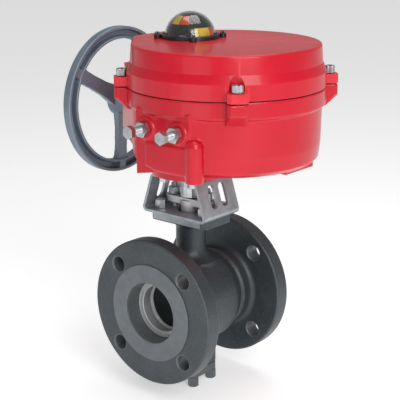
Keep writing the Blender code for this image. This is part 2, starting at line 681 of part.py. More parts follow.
def block_corner():
    """The upper right corner of the block, whose top climbs to the ring."""
    outline = [(80 * MM, STOP_FACE), (94.5 * MM, STOP_FACE), (111 * MM, -104 * MM), (104 * MM, -80 * MM),
               (80 * MM, -80 * MM)]
    shape = prism(outline, 243 * MM, BLOCK_TOP)
    for corner in shape.verts:
        if corner.co.z > BLOCK_TOP - 1e-6:
            corner.co.z += min(11 * MM, 1.2 * (corner.co.y - STOP_FACE))
    return shape


def make_base_housing(finish):
    """The lower casting: drum, gearbox nose, stop-bolt block, conduit block, lugs and mounting boss."""
    base = add_object("base_housing", move(turned(drum_outline(), 48), (DRUM_X, 0, 0)), finish)
    fuse(base, prism(nose_outline(0), 212 * MM, 279 * MM))
    ring = hull_with_nose(RING_RADIUS - 0.5 * MM, NOSE_TIP, NOSE_HALF, 14)
    fuse(base, prism(ring, RING_BOTTOM + 2 * MM, BASE_TOP - 0.2 * MM))
    fuse(base, front_block())
    fuse(base, block_corner())
    fuse(base, move(turned([(0, CONDUIT_FACE + 0.4 * MM), (COLUMN_RADIUS, CONDUIT_FACE + 0.4 * MM),
                            (COLUMN_RADIUS, 236 * MM), (7 * MM, 243.5 * MM), (0, 245.5 * MM)], SMALL_ROUND),
                    (*COLUMN_PLACE, 0)))
    fuse(base, block((CONDUIT_X - 15 * MM, -16 * MM, CONDUIT_FACE), (CONDUIT_X + 15 * MM, 40 * MM, 202 * MM)))
    fuse(base, turned([(0, MOUNT_FACE), (50 * MM, MOUNT_FACE), (54 * MM, 202 * MM), (0, 202 * MM)], 40))
    fuse(base, block((-91 * MM, -24 * MM, 226 * MM), (-70 * MM, 24 * MM, 271 * MM)))
    for side in (-1, 1):
        x = STOP_MIDDLE + side * STOP_SPACING
        boss = aim(rod(13.5 * MM, 0, 22 * MM, 14), (0, -1, 0))
        fuse(base, move(boss, (x, BOSS_FACE + 22 * MM, STOP_LEVEL)))
    for angle in EAR_ANGLES:
        fuse(base, on_drum(base_ear(266 * MM, BASE_TOP - 0.4 * MM, 0.3), angle))
    hollow = turned([(0, BASE_BOTTOM + WALL), (DRUM_RADIUS - 17 * MM, BASE_BOTTOM + WALL),
                     (DRUM_RADIUS - WALL, BASE_BOTTOM + 18 * MM), (DRUM_RADIUS - WALL, BASE_TOP + 5 * MM),
                     (0, BASE_TOP + 5 * MM)], 36)
    cut(base, move(hollow, (DRUM_X, 0, 0)))
    cut(base, prism(nose_outline(WALL), 218 * MM, 273 * MM))
    ring_inside = hull_with_nose(DRUM_RADIUS - WALL - 4 * MM, NOSE_TIP + WALL, NOSE_HALF - WALL, 14)
    cut(base, prism(ring_inside, RING_BOTTOM - 4 * MM, BASE_TOP + 5 * MM))
    cut(base, rod(30 * MM, MOUNT_FACE - 5 * MM, MOUNT_FACE + 8 * MM, 28))
    cut(base, rod(SLEEVE_RADIUS + 6 * MM, MOUNT_FACE + 2 * MM, 225 * MM, 28))
    for side in (-1, 1):
        hole = aim(bolt_hole(5.3 * MM, 30 * MM), (0, 1, 0))
        cut(base, move(hole, (STOP_MIDDLE + side * STOP_SPACING, STOP_FACE, STOP_LEVEL)))
    cut(base, move(aim(rod(10.3 * MM, 0, 60 * MM), (1, 0, 0)), (-110 * MM, 0, SHAFT_LEVEL)))
    for angle in EAR_ANGLES:
        x, y = ear_place(angle)
        cut(base, move(bolt_hole(4 * MM, 16 * MM), (x, y, BASE_TOP)))
    for x, y in diagonal_points(DRIVE_BOLT_OFFSET):
        cut(base, move(bolt_hole(4.3 * MM, 14 * MM), (x, y, MOUNT_FACE)))
    for y in CONDUIT_ENTRIES:
        entry = rod(PLUG_RADIUS + 2 * GAP, -5 * MM, 18 * MM, 24)
        cut(base, move(entry, (CONDUIT_X, y, CONDUIT_FACE)))
    return base


def make_cover(finishes):
    """The top cover with its shoulder and lugs, and the seal under it."""
    profile = [(0, COVER_BOTTOM), (RING_RADIUS, COVER_BOTTOM), (RING_RADIUS, SHOULDER_LOW),
               (DRUM_RADIUS, SHOULDER_HIGH)]
    for radius, height in arc((DRUM_RADIUS - 4.5 * MM, COVER_TOP - 3 * MM), 3 * MM, 0, 90, 3):
        profile.append((radius, height))
    profile.append((0, COVER_TOP))
    cover = add_object("top_cover", move(turned(profile, 48), (DRUM_X, 0, 0)), finishes["red_paint"])
    outline = hull_with_nose(RING_RADIUS - 0.5 * MM, NOSE_TIP, NOSE_HALF, 14)
    fuse(cover, prism(outline, COVER_BOTTOM, SHOULDER_LOW))
    nose = hull_with_nose(DRUM_RADIUS - 2 * MM, -72 * MM, 29 * MM, 14)
    fuse(cover, prism(nose, COVER_BOTTOM + 2 * MM, COVER_TOP - 6 * MM))
    upper_nose = hull_with_nose(DRUM_RADIUS - 6 * MM, -69 * MM, 26 * MM, 14)
    fuse(cover, prism(upper_nose, 320 * MM, COVER_TOP - 0.2 * MM))
    for angle in EAR_ANGLES:
        fuse(cover, on_drum(prism(ear_outline(), COVER_BOTTOM + 0.1 * MM, EAR_TOP), angle))
    inner_radius = DRUM_RADIUS - WALL
    hollow = turned([(0, COVER_BOTTOM - 5 * MM), (inner_radius, COVER_BOTTOM - 5 * MM),
                     (inner_radius, COVER_TOP - 14 * MM), (inner_radius - 8 * MM, COVER_TOP - WALL),
                     (0, COVER_TOP - WALL)], 36)
    cut(cover, move(hollow, (DRUM_X, 0, 0)))
    cut(cover, prism(hull_with_nose(DRUM_RADIUS - WALL - 5 * MM, -65 * MM, 22 * MM, 14), 280 * MM,
                     COVER_TOP - 12 * MM))
    for angle in EAR_ANGLES:
        x, y = ear_place(angle)
        cut(cover, move(bolt_hole(4.3 * MM, 20 * MM), (x, y, 300 * MM)))
        cut(cover, move(rod(POCKET_RADIUS, EAR_TOP, 330 * MM, 20), (x, y, 0)))
    cut(cover, rod(8 * MM, 320 * MM, COVER_TOP + 5 * MM))

    bottom = BASE_TOP + GAP
    outside = hull_with_nose(RING_RADIUS - 2 * MM, NOSE_TIP + 1.5 * MM, NOSE_HALF - 2 * MM, 24)
    inside = hull_with_nose(DRUM_RADIUS - WALL, NOSE_TIP + WALL, NOSE_HALF - WALL, 24)
    seal = add_object("cover_seal", prism(outside, bottom, bottom + SEAL_THICKNESS), finishes["seal_rubber"])
    cut(seal, prism(inside, bottom - 5 * MM, bottom + 5 * MM))
    return cover


def cap_screw(radius, length, head_radius, head_height, socket):
    """A socket cap screw: head up from the origin, shank down."""
    chamfer = 0.6 * MM
    profile = [(0, -length), (radius * 0.85, -length), (radius, -length + radius * 0.2), (radius, 0)]
    profile += [(head_radius, 0), (head_radius, head_height - chamfer), (head_radius - chamfer, head_height),
                (0, head_height)]
    body = turned(profile, 10)
    recess = prism(hexagon(socket), head_height * 0.45, head_height + 2 * MM)
    return body, recess


def make_cover_screws(finish):
    """The four cap screws in the cover lugs."""
    for number, angle in enumerate(EAR_ANGLES, start=1):
        x, y = ear_place(angle)
        body, recess = cap_screw(3.7 * MM, 28 * MM, 6.4 * MM, 9 * MM, 7 * MM)
        place = (x, y, EAR_TOP + GAP)
        screw = add_object(f"cover_screw_{number}", move(body, place), finish)
        cut(screw, move(recess, place))


def make_stop_bolts(finish):
    """The two travel-stop bolts, their tips at the end of the travel, and the nuts that lock them."""
    shank = -STOP_REACH - GAP - HEAD_FACE
    for name, side in (("left", -1), ("right", 1)):
        x = STOP_MIDDLE + side * STOP_SPACING
        add_hex_bolt(f"stop_bolt_{name}", (x, HEAD_FACE, STOP_LEVEL), (0, 1, 0),
                     (5 * MM, shank, 14 * MM, 6.5 * MM), finish)
        nut = aim(hex_nut(17 * MM, 5 * MM + GAP, 0, 8 * MM), (0, -1, 0))
        add_object(f"stop_lock_nut_{name}", move(nut, (x, BOSS_FACE - GAP, STOP_LEVEL)), finish)


def make_conduit_plugs(finish):
    """Two flush socket plugs in the cable entries under the drum."""
    low = CONDUIT_FACE + GAP
    for name, y in zip(("left", "right"), CONDUIT_ENTRIES):
        body = rod(PLUG_RADIUS, low, low + 9 * MM, SMALL_ROUND, 0.6 * MM)
        plug = add_object(f"conduit_plug_{name}", move(body, (CONDUIT_X, y, 0)), finish)
        cut(plug, move(prism(hexagon(10 * MM), low - 2 * MM, low + 5 * MM), (CONDUIT_X, y, 0)))


# ---------------------------------------------------------------- indicator
def dome_shell():
    """The clear dome: a footed cap of even thickness with a small flat crown."""
    wall = 2 * MM
    foot = COVER_TOP + GAP
    outline = [(DOME_RADIUS - wall, foot), (DOME_FLANGE, foot), (DOME_FLANGE, foot + 2 * MM),
               (DOME_RADIUS, foot + 2 * MM)]
    outline += arc((0, DOME_CENTRE), DOME_RADIUS, 4, 81, 6)
    crown = DOME_CENTRE + DOME_RADIUS - 0.3 * MM
    outline += [(0, crown), (0, crown - wall)]
    outline += arc((0, DOME_CENTRE), DOME_RADIUS - wall, 81, 3, 6)
    return turned(outline, 28)


def make_dome_ring(finishes):
    """The black ring that holds the dome down, and its four screws."""
    bottom = COVER_TOP + GAP
    top = bottom + 5 * MM
    lip = bottom + 2.4 * MM
    bore = DOME_RADIUS + 0.8 * MM
    outer = 37 * MM
    profile = [(DOME_FLANGE + GAP, bottom), (outer, bottom), (outer, top - 1 * MM), (outer - 1 * MM, top),
               (bore, top), (bore, lip), (DOME_FLANGE + GAP, lip)]
    ring = add_object("dome_ring", turned(profile, 28), finishes["black_plastic"])
    for number, angle in enumerate(DOME_SCREW_ANGLES, start=1):
        x = DOME_SCREW_CIRCLE * math.cos(math.radians(angle))
        y = DOME_SCREW_CIRCLE * math.sin(math.radians(angle))
        fuse(ring, move(rod(4.5 * MM, bottom + 0.1 * MM, bottom + 4.5 * MM, 10), (x, y, 0)))
        cut(ring, move(bolt_hole(2 * MM, 9 * MM), (x, y, bottom)))
        cut(ring, move(rod(3.6 * MM, bottom + 4 * MM, bottom + 8 * MM, 10), (x, y, 0)))
        body, recess = cap_screw(1.7 * MM, 3.6 * MM, 3.2 * MM, 3.2 * MM, 2.5 * MM)
        place = (x, y, bottom + 4 * MM + GAP)
        screw = add_object(f"dome_screw_{number}", move(body, place), finishes["dark_steel"])
        cut(screw, move(recess, place))


def make_rotor(finishes):
    """The black position indicator that turns under the dome and nearly fills it."""
    bottom = COVER_TOP + 2 * MM
    reach = 29 * MM
    profile = [(0, bottom), (28 * MM, bottom)]
    profile += arc((0, DOME_CENTRE), reach, 16, 76, 6)
    profile.append((0, DOME_CENTRE + reach * math.sin(math.radians(76))))
    add_object("indicator_rotor", turned(profile, 28), finishes["black_plastic"])


# ---------------------------------------------------------------- drive train
def make_drive_sleeve(finishes):
    """The sleeve on the stem axis with its stop pinion and indicator spindle, its bush and worm wheel."""
    spindle = 7 * MM
    sleeve = add_object("drive_sleeve", turned([
        (0, 163 * MM + GAP), (SLEEVE_RADIUS, 163 * MM + GAP), (SLEEVE_RADIUS, 290 * MM), (spindle, 290 * MM),
        (spindle, COVER_TOP + 2 * MM - GAP), (0, COVER_TOP + 2 * MM - GAP)], 24), finishes["dark_steel"])
    fuse(sleeve, prism(gear_outline(STOP_PINION_TEETH), *STOP_GEAR_LEVELS))
    teeth = prism(gear_outline(WHEEL_TEETH), WORM_LEVEL - 3.5 * MM, WORM_LEVEL + 3.5 * MM)
    wheel = add_object("worm_wheel", teeth, finishes["bronze"])
    cut(wheel, rod(SLEEVE_RADIUS + GAP, 220 * MM, 260 * MM, 24))
    add_object("sleeve_bush", tube(SLEEVE_RADIUS + GAP, SLEEVE_RADIUS + 6 * MM - GAP, 205 * MM, 224 * MM, 24),
               finishes["bronze"])


def stop_head_outline():
    """The wide end of the stop lever at mid travel: an arc between the two faces that meet the bolts."""
    swing = math.radians(STOP_SWING)
    far_x = 33 * MM * math.cos(swing) + STOP_REACH * math.sin(swing)
    far_y = 33 * MM * math.sin(swing) - STOP_REACH * math.cos(swing)
    rim = arc((0, 0), STOP_REACH, -90 - STOP_SWING, -90 + STOP_SWING, 4)
    return [(-far_x, far_y)] + rim + [(far_x, far_y), (far_x - 2 * MM, far_y + 4 * MM), (12 * MM, -14 * MM),
                                      (-12 * MM, -14 * MM), (-far_x + 2 * MM, far_y + 4 * MM)]


def make_stop_lever(finishes):
    """The half-speed sector gear on the drum axis, with the lever that meets the stop bolts."""
    from_mid = (VALVE_OPENING - 45) / 2
    start, end = STOP_TEETH // 2 - 4, STOP_TEETH // 2 + 3
    sector = gear_outline(STOP_TEETH, 0.5, start, end)
    sector += [(-10 * MM, -11 * MM), (8 * MM, 0), (-10 * MM, 11 * MM)]
    low, high = LEVER_LEVELS
    lever = add_object("stop_lever", move(prism(sector, *STOP_GEAR_LEVELS), (DRUM_X, 0, 0)),
                       finishes["dark_steel"])
    hub = rod(13 * MM, low - 0.1 * MM, STOP_GEAR_LEVELS[1] + 0.1 * MM, 14)
    fuse(lever, move(hub, (DRUM_X, 0, 0)))
    fuse(lever, on_drum(prism(stop_head_outline(), low, high), -from_mid))
    web = block((-9 * MM, -20 * MM, low + 1 * MM), (9 * MM, 0, high - 1 * MM))
    fuse(lever, on_drum(web, -from_mid))
    cut(lever, move(rod(6 * MM + GAP, 230 * MM, 280 * MM, SMALL_ROUND), (DRUM_X, 0, 0)))
    put_origin(lever, (DRUM_X, 0, 0))
    floor = BASE_BOTTOM + WALL + GAP
    shoulder = LEVER_LEVELS[0] - 0.1 * MM - GAP
    add_object("stop_lever_pin", move(turned([
        (0, floor), (15 * MM, floor), (15 * MM, floor + 9 * MM), (9 * MM, floor + 11 * MM),
        (9 * MM, shoulder),
        (6 * MM, shoulder), (6 * MM, 272 * MM), (0, 272 * MM)], SMALL_ROUND), (DRUM_X, 0, 0)),
        finishes["bright_steel"])


def worm_thread(length, root, crest, facing):
    """A threaded bar along Z, with a thread crest at mid length at the angle (degrees) it faces."""
    pitch = math.pi * MODULE
    rows = round(6 * length / pitch)
    segments = 10
    body = bmesh.new()
    grid = []
    for row in range(rows + 1):
        along = length * row / rows
        ring = []
        for step in range(segments):
            angle = math.tau * step / segments
            turns = (along - length / 2) / pitch - (angle - math.radians(facing)) / math.tau
            off_crest = abs(turns - round(turns))
            rise = max(0.0, min(1.0, (0.22 - off_crest) / 0.12))
            if row in (0, rows):
                rise = 0.0
            radius = root + (crest - root) * rise
            ring.append(body.verts.new((radius * math.cos(angle), radius * math.sin(angle), along)))
        grid.append(ring)
    for lower, upper in zip(grid, grid[1:]):
        for step in range(segments):
            after = (step + 1) % segments
            body.faces.new([lower[step], lower[after], upper[after], upper[step]])
    body.faces.new(list(reversed(grid[0])))
    body.faces.new(grid[-1])
    return body


def make_worm(finishes):
    """The worm shaft, with the gear that the handwheel drives at one end and the motor at the other."""
    place = (0, WORM_Y, WORM_LEVEL)
    shaft = add_object("worm_shaft", move(aim(rod(6 * MM, -46 * MM, 80 * MM), (1, 0, 0)), place),
                       finishes["bright_steel"])
    length = 5 * math.pi * MODULE
    crest = WORM_Y - MODULE * (WHEEL_TEETH / 2 - 1.05) - 0.8 * MM
    thread = worm_thread(length, 6.5 * MM, crest, 270)
    fuse(shaft, move(aim(thread, (1, 0, 0)), (-length / 2, WORM_Y, WORM_LEVEL)))
    fuse(shaft, move(aim(prism(gear_outline(HAND_GEAR_TEETH, gear_phase()), *HAND_GEAR_X), (1, 0, 0)), place))
    put_origin(shaft, place)


def gear_phase():
    """Turns the worm shaft's gear so that its gap faces a tooth of the handwheel pinion.

    Meshing teeth mirror each other in the line of centres: half a tooth plus twice the pinion's own phase.
    """
    towards = math.atan2(-WORM_Y, SHAFT_LEVEL - WORM_LEVEL)
    return 0.5 + 2 * (towards / math.tau * HAND_GEAR_TEETH % 1.0)


def make_motor(finishes):
    """The drive motor, in line with the worm shaft and standing on the floor of the base."""
    motor = add_object("drive_motor", move(aim(turned([
        (0, 72 * MM), (23 * MM, 72 * MM), (25 * MM, 74 * MM), (25 * MM, 130 * MM), (18 * MM, 138 * MM),
        (0, 138 * MM)], 24), (1, 0, 0)), (0, WORM_Y, WORM_LEVEL)), finishes["motor_grey"])
    floor = BASE_BOTTOM + WALL + GAP
    fuse(motor, block((84 * MM, WORM_Y - 17 * MM, floor), (120 * MM, WORM_Y + 15 * MM, WORM_LEVEL - 12 * MM)))
    cut(motor, move(aim(rod(6 * MM + GAP, 60 * MM, 82 * MM), (1, 0, 0)), (0, WORM_Y, WORM_LEVEL)))


def make_electrics(finishes):
    """The limit switch block and the terminal strip."""
    floor = BASE_BOTTOM + WALL + GAP
    case = block((129 * MM, -34 * MM, floor), (149 * MM, 8 * MM, 276 * MM))
    switches = add_object("limit_switch_block", case, finishes["black_plastic"])
    for step in range(3):
        low = 222 * MM + step * 18 * MM
        fuse(switches, block((126 * MM, -30 * MM, low), (130 * MM, 4 * MM, low + 10 * MM)))
    strip = add_object("terminal_strip", block((62 * MM, -84 * MM, floor), (110 * MM, -66 * MM, 234 * MM)),
                       finishes["black_plastic"])
    for step in range(5):
        low = 64 * MM + step * 9 * MM
        cut(strip, block((low, -80 * MM, 226 * MM), (low + 6 * MM, -70 * MM, 240 * MM)))


# ---------------------------------------------------------------- handwheel
def spoke_shape(angle):
    """One tapered spoke from the hub to the rim, as a flat bar along the wheel's plane."""
    outline = [(8 * MM, -11.5 * MM), (84 * MM, -9.5 * MM), (84 * MM, 9.5 * MM), (8 * MM, 11.5 * MM)]
    shape = prism(outline, RIM_OUTBOARD + 6 * MM, RIM_OUTBOARD + 12.5 * MM)
    for corner in shape.verts:
        reach = math.hypot(corner.co.x, corner.co.y)
        corner.co.z += 6 * MM * max(0.0, 1 - reach / (80 * MM))
    bmesh.ops.rotate(shape, cent=(0, 0, 0), matrix=Matrix.Rotation(math.radians(angle), 3, "Z"),
                     verts=shape.verts)
    return shape


def lay_wheel(shape):
    """Stand a shape drawn about Z up so that it turns about the handwheel axis."""
    turn = Matrix(((0, 0, 1), (1, 0, 0), (0, 1, 0)))
    bmesh.ops.rotate(shape, cent=(0, 0, 0), matrix=turn, verts=shape.verts)
    return move(shape, (0, 0, SHAFT_LEVEL))


def make_handwheel(finishes):
    """The handwheel with its channel rim, its shaft with a pinion, and its nut."""
    inner_lip = RIM_INNER_RADIUS + 3 * MM
    channel_floor = RIM_OUTBOARD + 3.5 * MM
    rim = [(RIM_INNER_RADIUS, RIM_OUTBOARD), (RIM_RADIUS - 1 * MM, RIM_OUTBOARD),
           (RIM_RADIUS, RIM_OUTBOARD + 1.5 * MM), (RIM_RADIUS, RIM_INBOARD - 0.8 * MM),
           (RIM_RADIUS - 0.8 * MM, RIM_INBOARD), (RIM_RADIUS - RIM_WALL, RIM_INBOARD),
           (RIM_RADIUS - RIM_WALL, channel_floor), (inner_lip, channel_floor), (inner_lip, RIM_INBOARD),
           (RIM_INNER_RADIUS, RIM_INBOARD)]
    wheel = add_object("handwheel", lay_wheel(turned(rim)), finishes["wheel_paint"])
    for angle in SPOKE_ANGLES:
        fuse(wheel, lay_wheel(spoke_shape(angle)))
        bridge = block((82 * MM, -5.5 * MM, RIM_OUTBOARD + 2 * MM), (93 * MM, 5.5 * MM, RIM_INBOARD - 1 * MM))
        bmesh.ops.rotate(bridge, cent=(0, 0, 0), matrix=Matrix.Rotation(math.radians(angle), 3, "Z"),
                         verts=bridge.verts)
        fuse(wheel, lay_wheel(bridge))
    hub = [(0, -128 * MM), (HUB_RADIUS + 5 * MM, -127 * MM), (HUB_RADIUS + 5 * MM, -117 * MM),
           (HUB_RADIUS, -104 * MM), (0, -104 * MM)]
    fuse(wheel, lay_wheel(turned(hub, 24)))
    cut(wheel, lay_wheel(rod(7 * MM + GAP, -135 * MM, -95 * MM)))

    shaft = add_object("handwheel_shaft", lay_wheel(turned([
        (0, -136 * MM), (7 * MM, -136 * MM), (7 * MM, -103.5 * MM), (10 * MM, -103.5 * MM),
        (10 * MM, -32.5 * MM), (0, -32.5 * MM)], SMALL_ROUND)), finishes["bright_steel"])
    pinion = prism(gear_outline(HAND_GEAR_TEETH), *HAND_GEAR_X)
    fuse(shaft, move(aim(pinion, (1, 0, 0)), (0, 0, SHAFT_LEVEL)))
    nut = add_object("handwheel_nut", lay_wheel(hex_nut(19 * MM, 7 * MM + GAP, -135 * MM, -128 * MM - GAP)),
                     finishes["bright_steel"])
    for made in (wheel, shaft, nut):
        put_origin(made, (0, 0, SHAFT_LEVEL))


def main():
    clear_scene()
    finishes = make_materials()
    make_valve_body(finishes["cast_steel"])
    make_lower_cover(finishes)
    make_seats(finishes)
    make_segment(finishes["bright_steel"])
    make_stem_parts(finishes)
    make_bracket(finishes["bracket_steel"])
    make_bracket_bolts(finishes)
    make_base_housing(finishes["red_paint"])
    make_cover(finishes)
    make_cover_screws(finishes["bright_steel"])
    make_stop_bolts(finishes["bright_steel"])
    make_conduit_plugs(finishes["dark_steel"])
    add_object("indicator_dome", dome_shell(), finishes["clear_dome"])
    make_dome_ring(finishes)
    make_rotor(finishes)
    make_drive_sleeve(finishes)
    make_stop_lever(finishes)
    make_worm(finishes)
    make_motor(finishes)
    make_electrics(finishes)
    make_handwheel(finishes)


main()
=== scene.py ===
"""Looks of the motorized valve: finer castings, fasteners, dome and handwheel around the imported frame."""

import json
import math

import bmesh
import bpy
from mathutils import Matrix, Vector


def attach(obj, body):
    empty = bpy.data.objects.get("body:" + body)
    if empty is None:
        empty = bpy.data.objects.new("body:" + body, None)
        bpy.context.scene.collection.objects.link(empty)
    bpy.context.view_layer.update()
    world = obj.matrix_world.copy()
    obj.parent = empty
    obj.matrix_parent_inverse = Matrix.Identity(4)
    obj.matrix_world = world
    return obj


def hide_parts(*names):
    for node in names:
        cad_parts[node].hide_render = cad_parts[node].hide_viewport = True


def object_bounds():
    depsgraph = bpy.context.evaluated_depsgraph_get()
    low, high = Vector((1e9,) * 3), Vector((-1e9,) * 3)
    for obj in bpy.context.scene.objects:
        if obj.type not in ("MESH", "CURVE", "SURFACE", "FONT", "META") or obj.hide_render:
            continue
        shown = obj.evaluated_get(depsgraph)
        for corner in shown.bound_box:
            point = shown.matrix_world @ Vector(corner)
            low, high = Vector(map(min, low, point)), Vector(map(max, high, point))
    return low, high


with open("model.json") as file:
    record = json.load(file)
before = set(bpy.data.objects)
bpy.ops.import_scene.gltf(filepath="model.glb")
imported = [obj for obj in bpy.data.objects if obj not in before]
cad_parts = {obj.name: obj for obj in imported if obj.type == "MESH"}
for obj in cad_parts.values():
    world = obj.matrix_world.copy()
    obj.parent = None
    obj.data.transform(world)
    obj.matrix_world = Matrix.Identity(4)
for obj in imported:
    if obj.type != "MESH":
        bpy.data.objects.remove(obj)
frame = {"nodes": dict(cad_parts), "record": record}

cad_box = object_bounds()
nodes = frame["nodes"]

MM = 0.001                          # shapes are drawn in millimetres; objects are in metres
FINE = 160                          # sides of a large round
MEDIUM = 48                         # sides of a bolt or a hole
ROUND_CASTING = 240                 # sides of the drum

# ---------------------------------------------------------------- sizes shared with the CAD
INLET_FACE = -82.5
OUTLET_FACE = 86.5
FLANGE_RADIUS = 95.25
FLANGE_THICKNESS = 23.2
RAISED_RADIUS = 63.5
RAISED_HEIGHT = 1.6
BOLT_CIRCLE = 76.2
FLANGE_HOLE = 9.5
BORE_RADIUS = 39
BARREL_RADIUS = 61
NECK_RADIUS = 19.5
PAD_BOTTOM = 104.7
PAD_TOP = 115.4
PAD_HALF = (46, 29)
PAD_CHAMFER = 6
PAD_BOLTS = (36, 18)
BRACKET_BOLT_HOLE = 4.3
STEM_RADIUS = 7.2
GLAND_STUD_OFFSET = 27
GLAND_STUD_RADIUS = 5
GLAND_STUDS = ((-GLAND_STUD_OFFSET, 0), (GLAND_STUD_OFFSET, 0))
GLAND_TOP = 136
PLATE = 3.5
BRACKET_BOTTOM = 115.7
BRACKET_TOP = 168
BRACKET_BOTTOM_HALF = 54
BRACKET_TOP_HALF = 37
BRACKET_HALF_Y = 35
DRIVE_BOLT_OFFSET = 24.75
MOUNT_FACE = 168.3
DRUM_X = 57
DRUM_RADIUS = 117
RING_RADIUS = 121.5
WALL = 6
NOSE_TIP = -70
NOSE_HALF = 46
BASE_BOTTOM = 197.5
RING_BOTTOM = 266
BASE_TOP = 288
COVER_BOTTOM = 289.5
SHOULDER_LOW = 308
SHOULDER_HIGH = 318.5
COVER_TOP = 340.3
EAR_RADIUS = 127
EAR_REACH = 136.5
EAR_HALF_WIDTH = 12
EAR_TOP = 300.5
EAR_ANGLES = (-136, -46, 44, 134)
POCKET_RADIUS = 9.8
SHAFT_LEVEL = 248.5
STOP_LEVEL = 249.4
STOP_OFFSETS = (-26, 23)
BLOCK_FACE = -117
BOSS_FACE = -119.5
HEAD_FACE = BOSS_FACE - 23
BLOCK_LEFT = 14.5
BLOCK_RIGHT = 96
BLOCK_TOP = 272
CONDUIT_X = 145
CONDUIT_ENTRIES = (-1, 25)
CONDUIT_FACE = 193.5
PLUG_RADIUS = 9
COLUMN_PLACE = (99.4, -111.5, 0)
COLUMN_RADIUS = 10.7
DOME_RADIUS = 31.7
DOME_CENTRE = COVER_TOP + 1
DOME_FLANGE = 34.2
DOME_SCREW_CIRCLE = 40.5
DOME_SCREW_ANGLES = (-135, -45, 45, 135)
RIM_RADIUS = 96.5
RIM_OUTBOARD = -131
RIM_INBOARD = -118
HUB_RADIUS = 16
SPOKE_ANGLES = (30, 150, 270)
GAP = 0.3


# ---------------------------------------------------------------- shapes
def arc(centre, radius, start, end, steps):
    """Points on an arc, angles in degrees."""
    points = []
    for step in range(steps + 1):
        angle = math.radians(start + (end - start) * step / steps)
        points.append((centre[0] + radius * math.cos(angle), centre[1] + radius * math.sin(angle)))
    return points


def circle(shape, radius, height, segments):
    """Add a ring of points about Z to a shape."""
    ring = []
    for step in range(segments):
        angle = math.tau * step / segments
        ring.append(shape.verts.new((radius * math.cos(angle), radius * math.sin(angle), height)))
    return ring


def bridge(shape, lower, upper):
    """Join two rings of points with a band of faces."""
    for index in range(len(lower)):
        after = (index + 1) % len(lower)
        shape.faces.new([lower[index], lower[after], upper[after], upper[index]])


def stack(shape, rings):
    """Close a stack of rings into a solid."""
    for lower, upper in zip(rings, rings[1:]):
        bridge(shape, lower, upper)
    shape.faces.new(list(reversed(rings[0])))
    shape.faces.new(rings[-1])
    return shape


def turned(outline, segments=FINE):
    """Spin a closed outline of (radius, height) points about Z; flat ends become single faces."""
    shape = bmesh.new()
    rings = [circle(shape, radius, height, segments) if radius else None for radius, height in outline]
    for index, ring in enumerate(rings):
        after = (index + 1) % len(outline)
        other = rings[after]
        if ring and other:
            bridge(shape, ring, other)
        elif (ring or other) and outline[index][1] == outline[after][1]:
            shape.faces.new(ring or other)
        elif ring or other:
            end = ring or other
            tip = shape.verts.new((0, 0, outline[after if ring else index][1]))
            for one, two in zip(end, end[1:] + end[:1]):
                shape.faces.new([one, two, tip])
    return shape


def prism(outline, bottom, top):
    """Extrude a closed (x, y) outline from one height to another."""
    return loft([(outline, bottom), (outline, top)])


def loft(sections):
    """A solid through several (outline, height) sections that have the same number of points."""
    shape = bmesh.new()
    rings = [[shape.verts.new((x, y, height)) for x, y in outline] for outline, height in sections]
    return stack(shape, rings)


def block(low, high):
    """A rectangular block between two corners."""
    outline = [(low[0], low[1]), (high[0], low[1]), (high[0], high[1]), (low[0], high[1])]
    return prism(outline, low[2], high[2])


def rod(radius, bottom, top, segments=MEDIUM, chamfer=0.0):
    """A round bar along Z with optional chamfered ends."""
    if chamfer == 0:
        return turned([(0, bottom), (radius, bottom), (radius, top), (0, top)], segments)
    return turned([(0, bottom), (radius - chamfer, bottom), (radius, bottom + chamfer),
                   (radius, top - chamfer), (radius - chamfer, top), (0, top)], segments)


def pins(places, radius, bottom, top, segments=32):
    """Equal round bars along Z at several places."""
    return [move(rod(radius, bottom, top, segments), (x, y, 0)) for x, y in places]


def hexagon(across_flats):
    """The corners of a hexagon."""
    reach = across_flats / math.sqrt(3)
    return [(reach * math.cos(math.radians(60 * step)), reach * math.sin(math.radians(60 * step)))
            for step in range(6)]


def rounded_rectangle(half_x, half_y, radius, steps=5):
    """A rectangle with round corners."""
    points = []
    for x, y, start in ((1, 1, 0), (-1, 1, 90), (-1, -1, 180), (1, -1, 270)):
        points += arc((x * (half_x - radius), y * (half_y - radius)), radius, start, start + 90, steps)
    return points


def aim(shape, axis):
    """Turn a shape made along +Z so that it points along another axis."""
    turn = Vector((0, 0, 1)).rotation_difference(Vector(axis)).to_matrix()
    bmesh.ops.rotate(shape, cent=(0, 0, 0), matrix=turn, verts=shape.verts)
    return shape


def move(shape, offset):
    """Shift a shape and return it."""
    bmesh.ops.translate(shape, vec=Vector(offset), verts=shape.verts)
    return shape


def spin(shape, angle):
    """Turn a shape about the Z axis, angle in degrees."""
    turn = Matrix.Rotation(math.radians(angle), 3, "Z")
    bmesh.ops.rotate(shape, cent=(0, 0, 0), matrix=turn, verts=shape.verts)
    return shape


def thread(radius, pitch, bottom, top, segments=24):
    """A bar along Z whose skin carries a helical thread that fades out at its ends."""
    depth = 0.54 * pitch
    steps_per_pitch = 6
    rows = max(8, round(steps_per_pitch * (top - bottom) / pitch))
    shape = bmesh.new()
    rings = []
    for row in range(rows + 1):
        height = bottom + (top - bottom) * row / rows
        fade = min(1.0, row / steps_per_pitch, (rows - row) / steps_per_pitch)
        ring = []
        for step in range(segments):
            turns = height / pitch - step / segments
            rise = 1 - 2 * abs(turns - math.floor(turns) - 0.5)
            reach = radius - depth * (1 - rise * fade)
            angle = math.tau * step / segments
            ring.append(shape.verts.new((reach * math.cos(angle), reach * math.sin(angle), height)))
        rings.append(ring)
    return stack(shape, rings)


def along_y(outline, start, end):
    """Extrude an (x, z) outline along the Y axis."""
    shape = prism([(x, -z) for x, z in outline], start, end)
    lift = Matrix.Rotation(math.radians(-90), 3, "X")
    bmesh.ops.rotate(shape, cent=(0, 0, 0), matrix=lift, verts=shape.verts)
    return shape


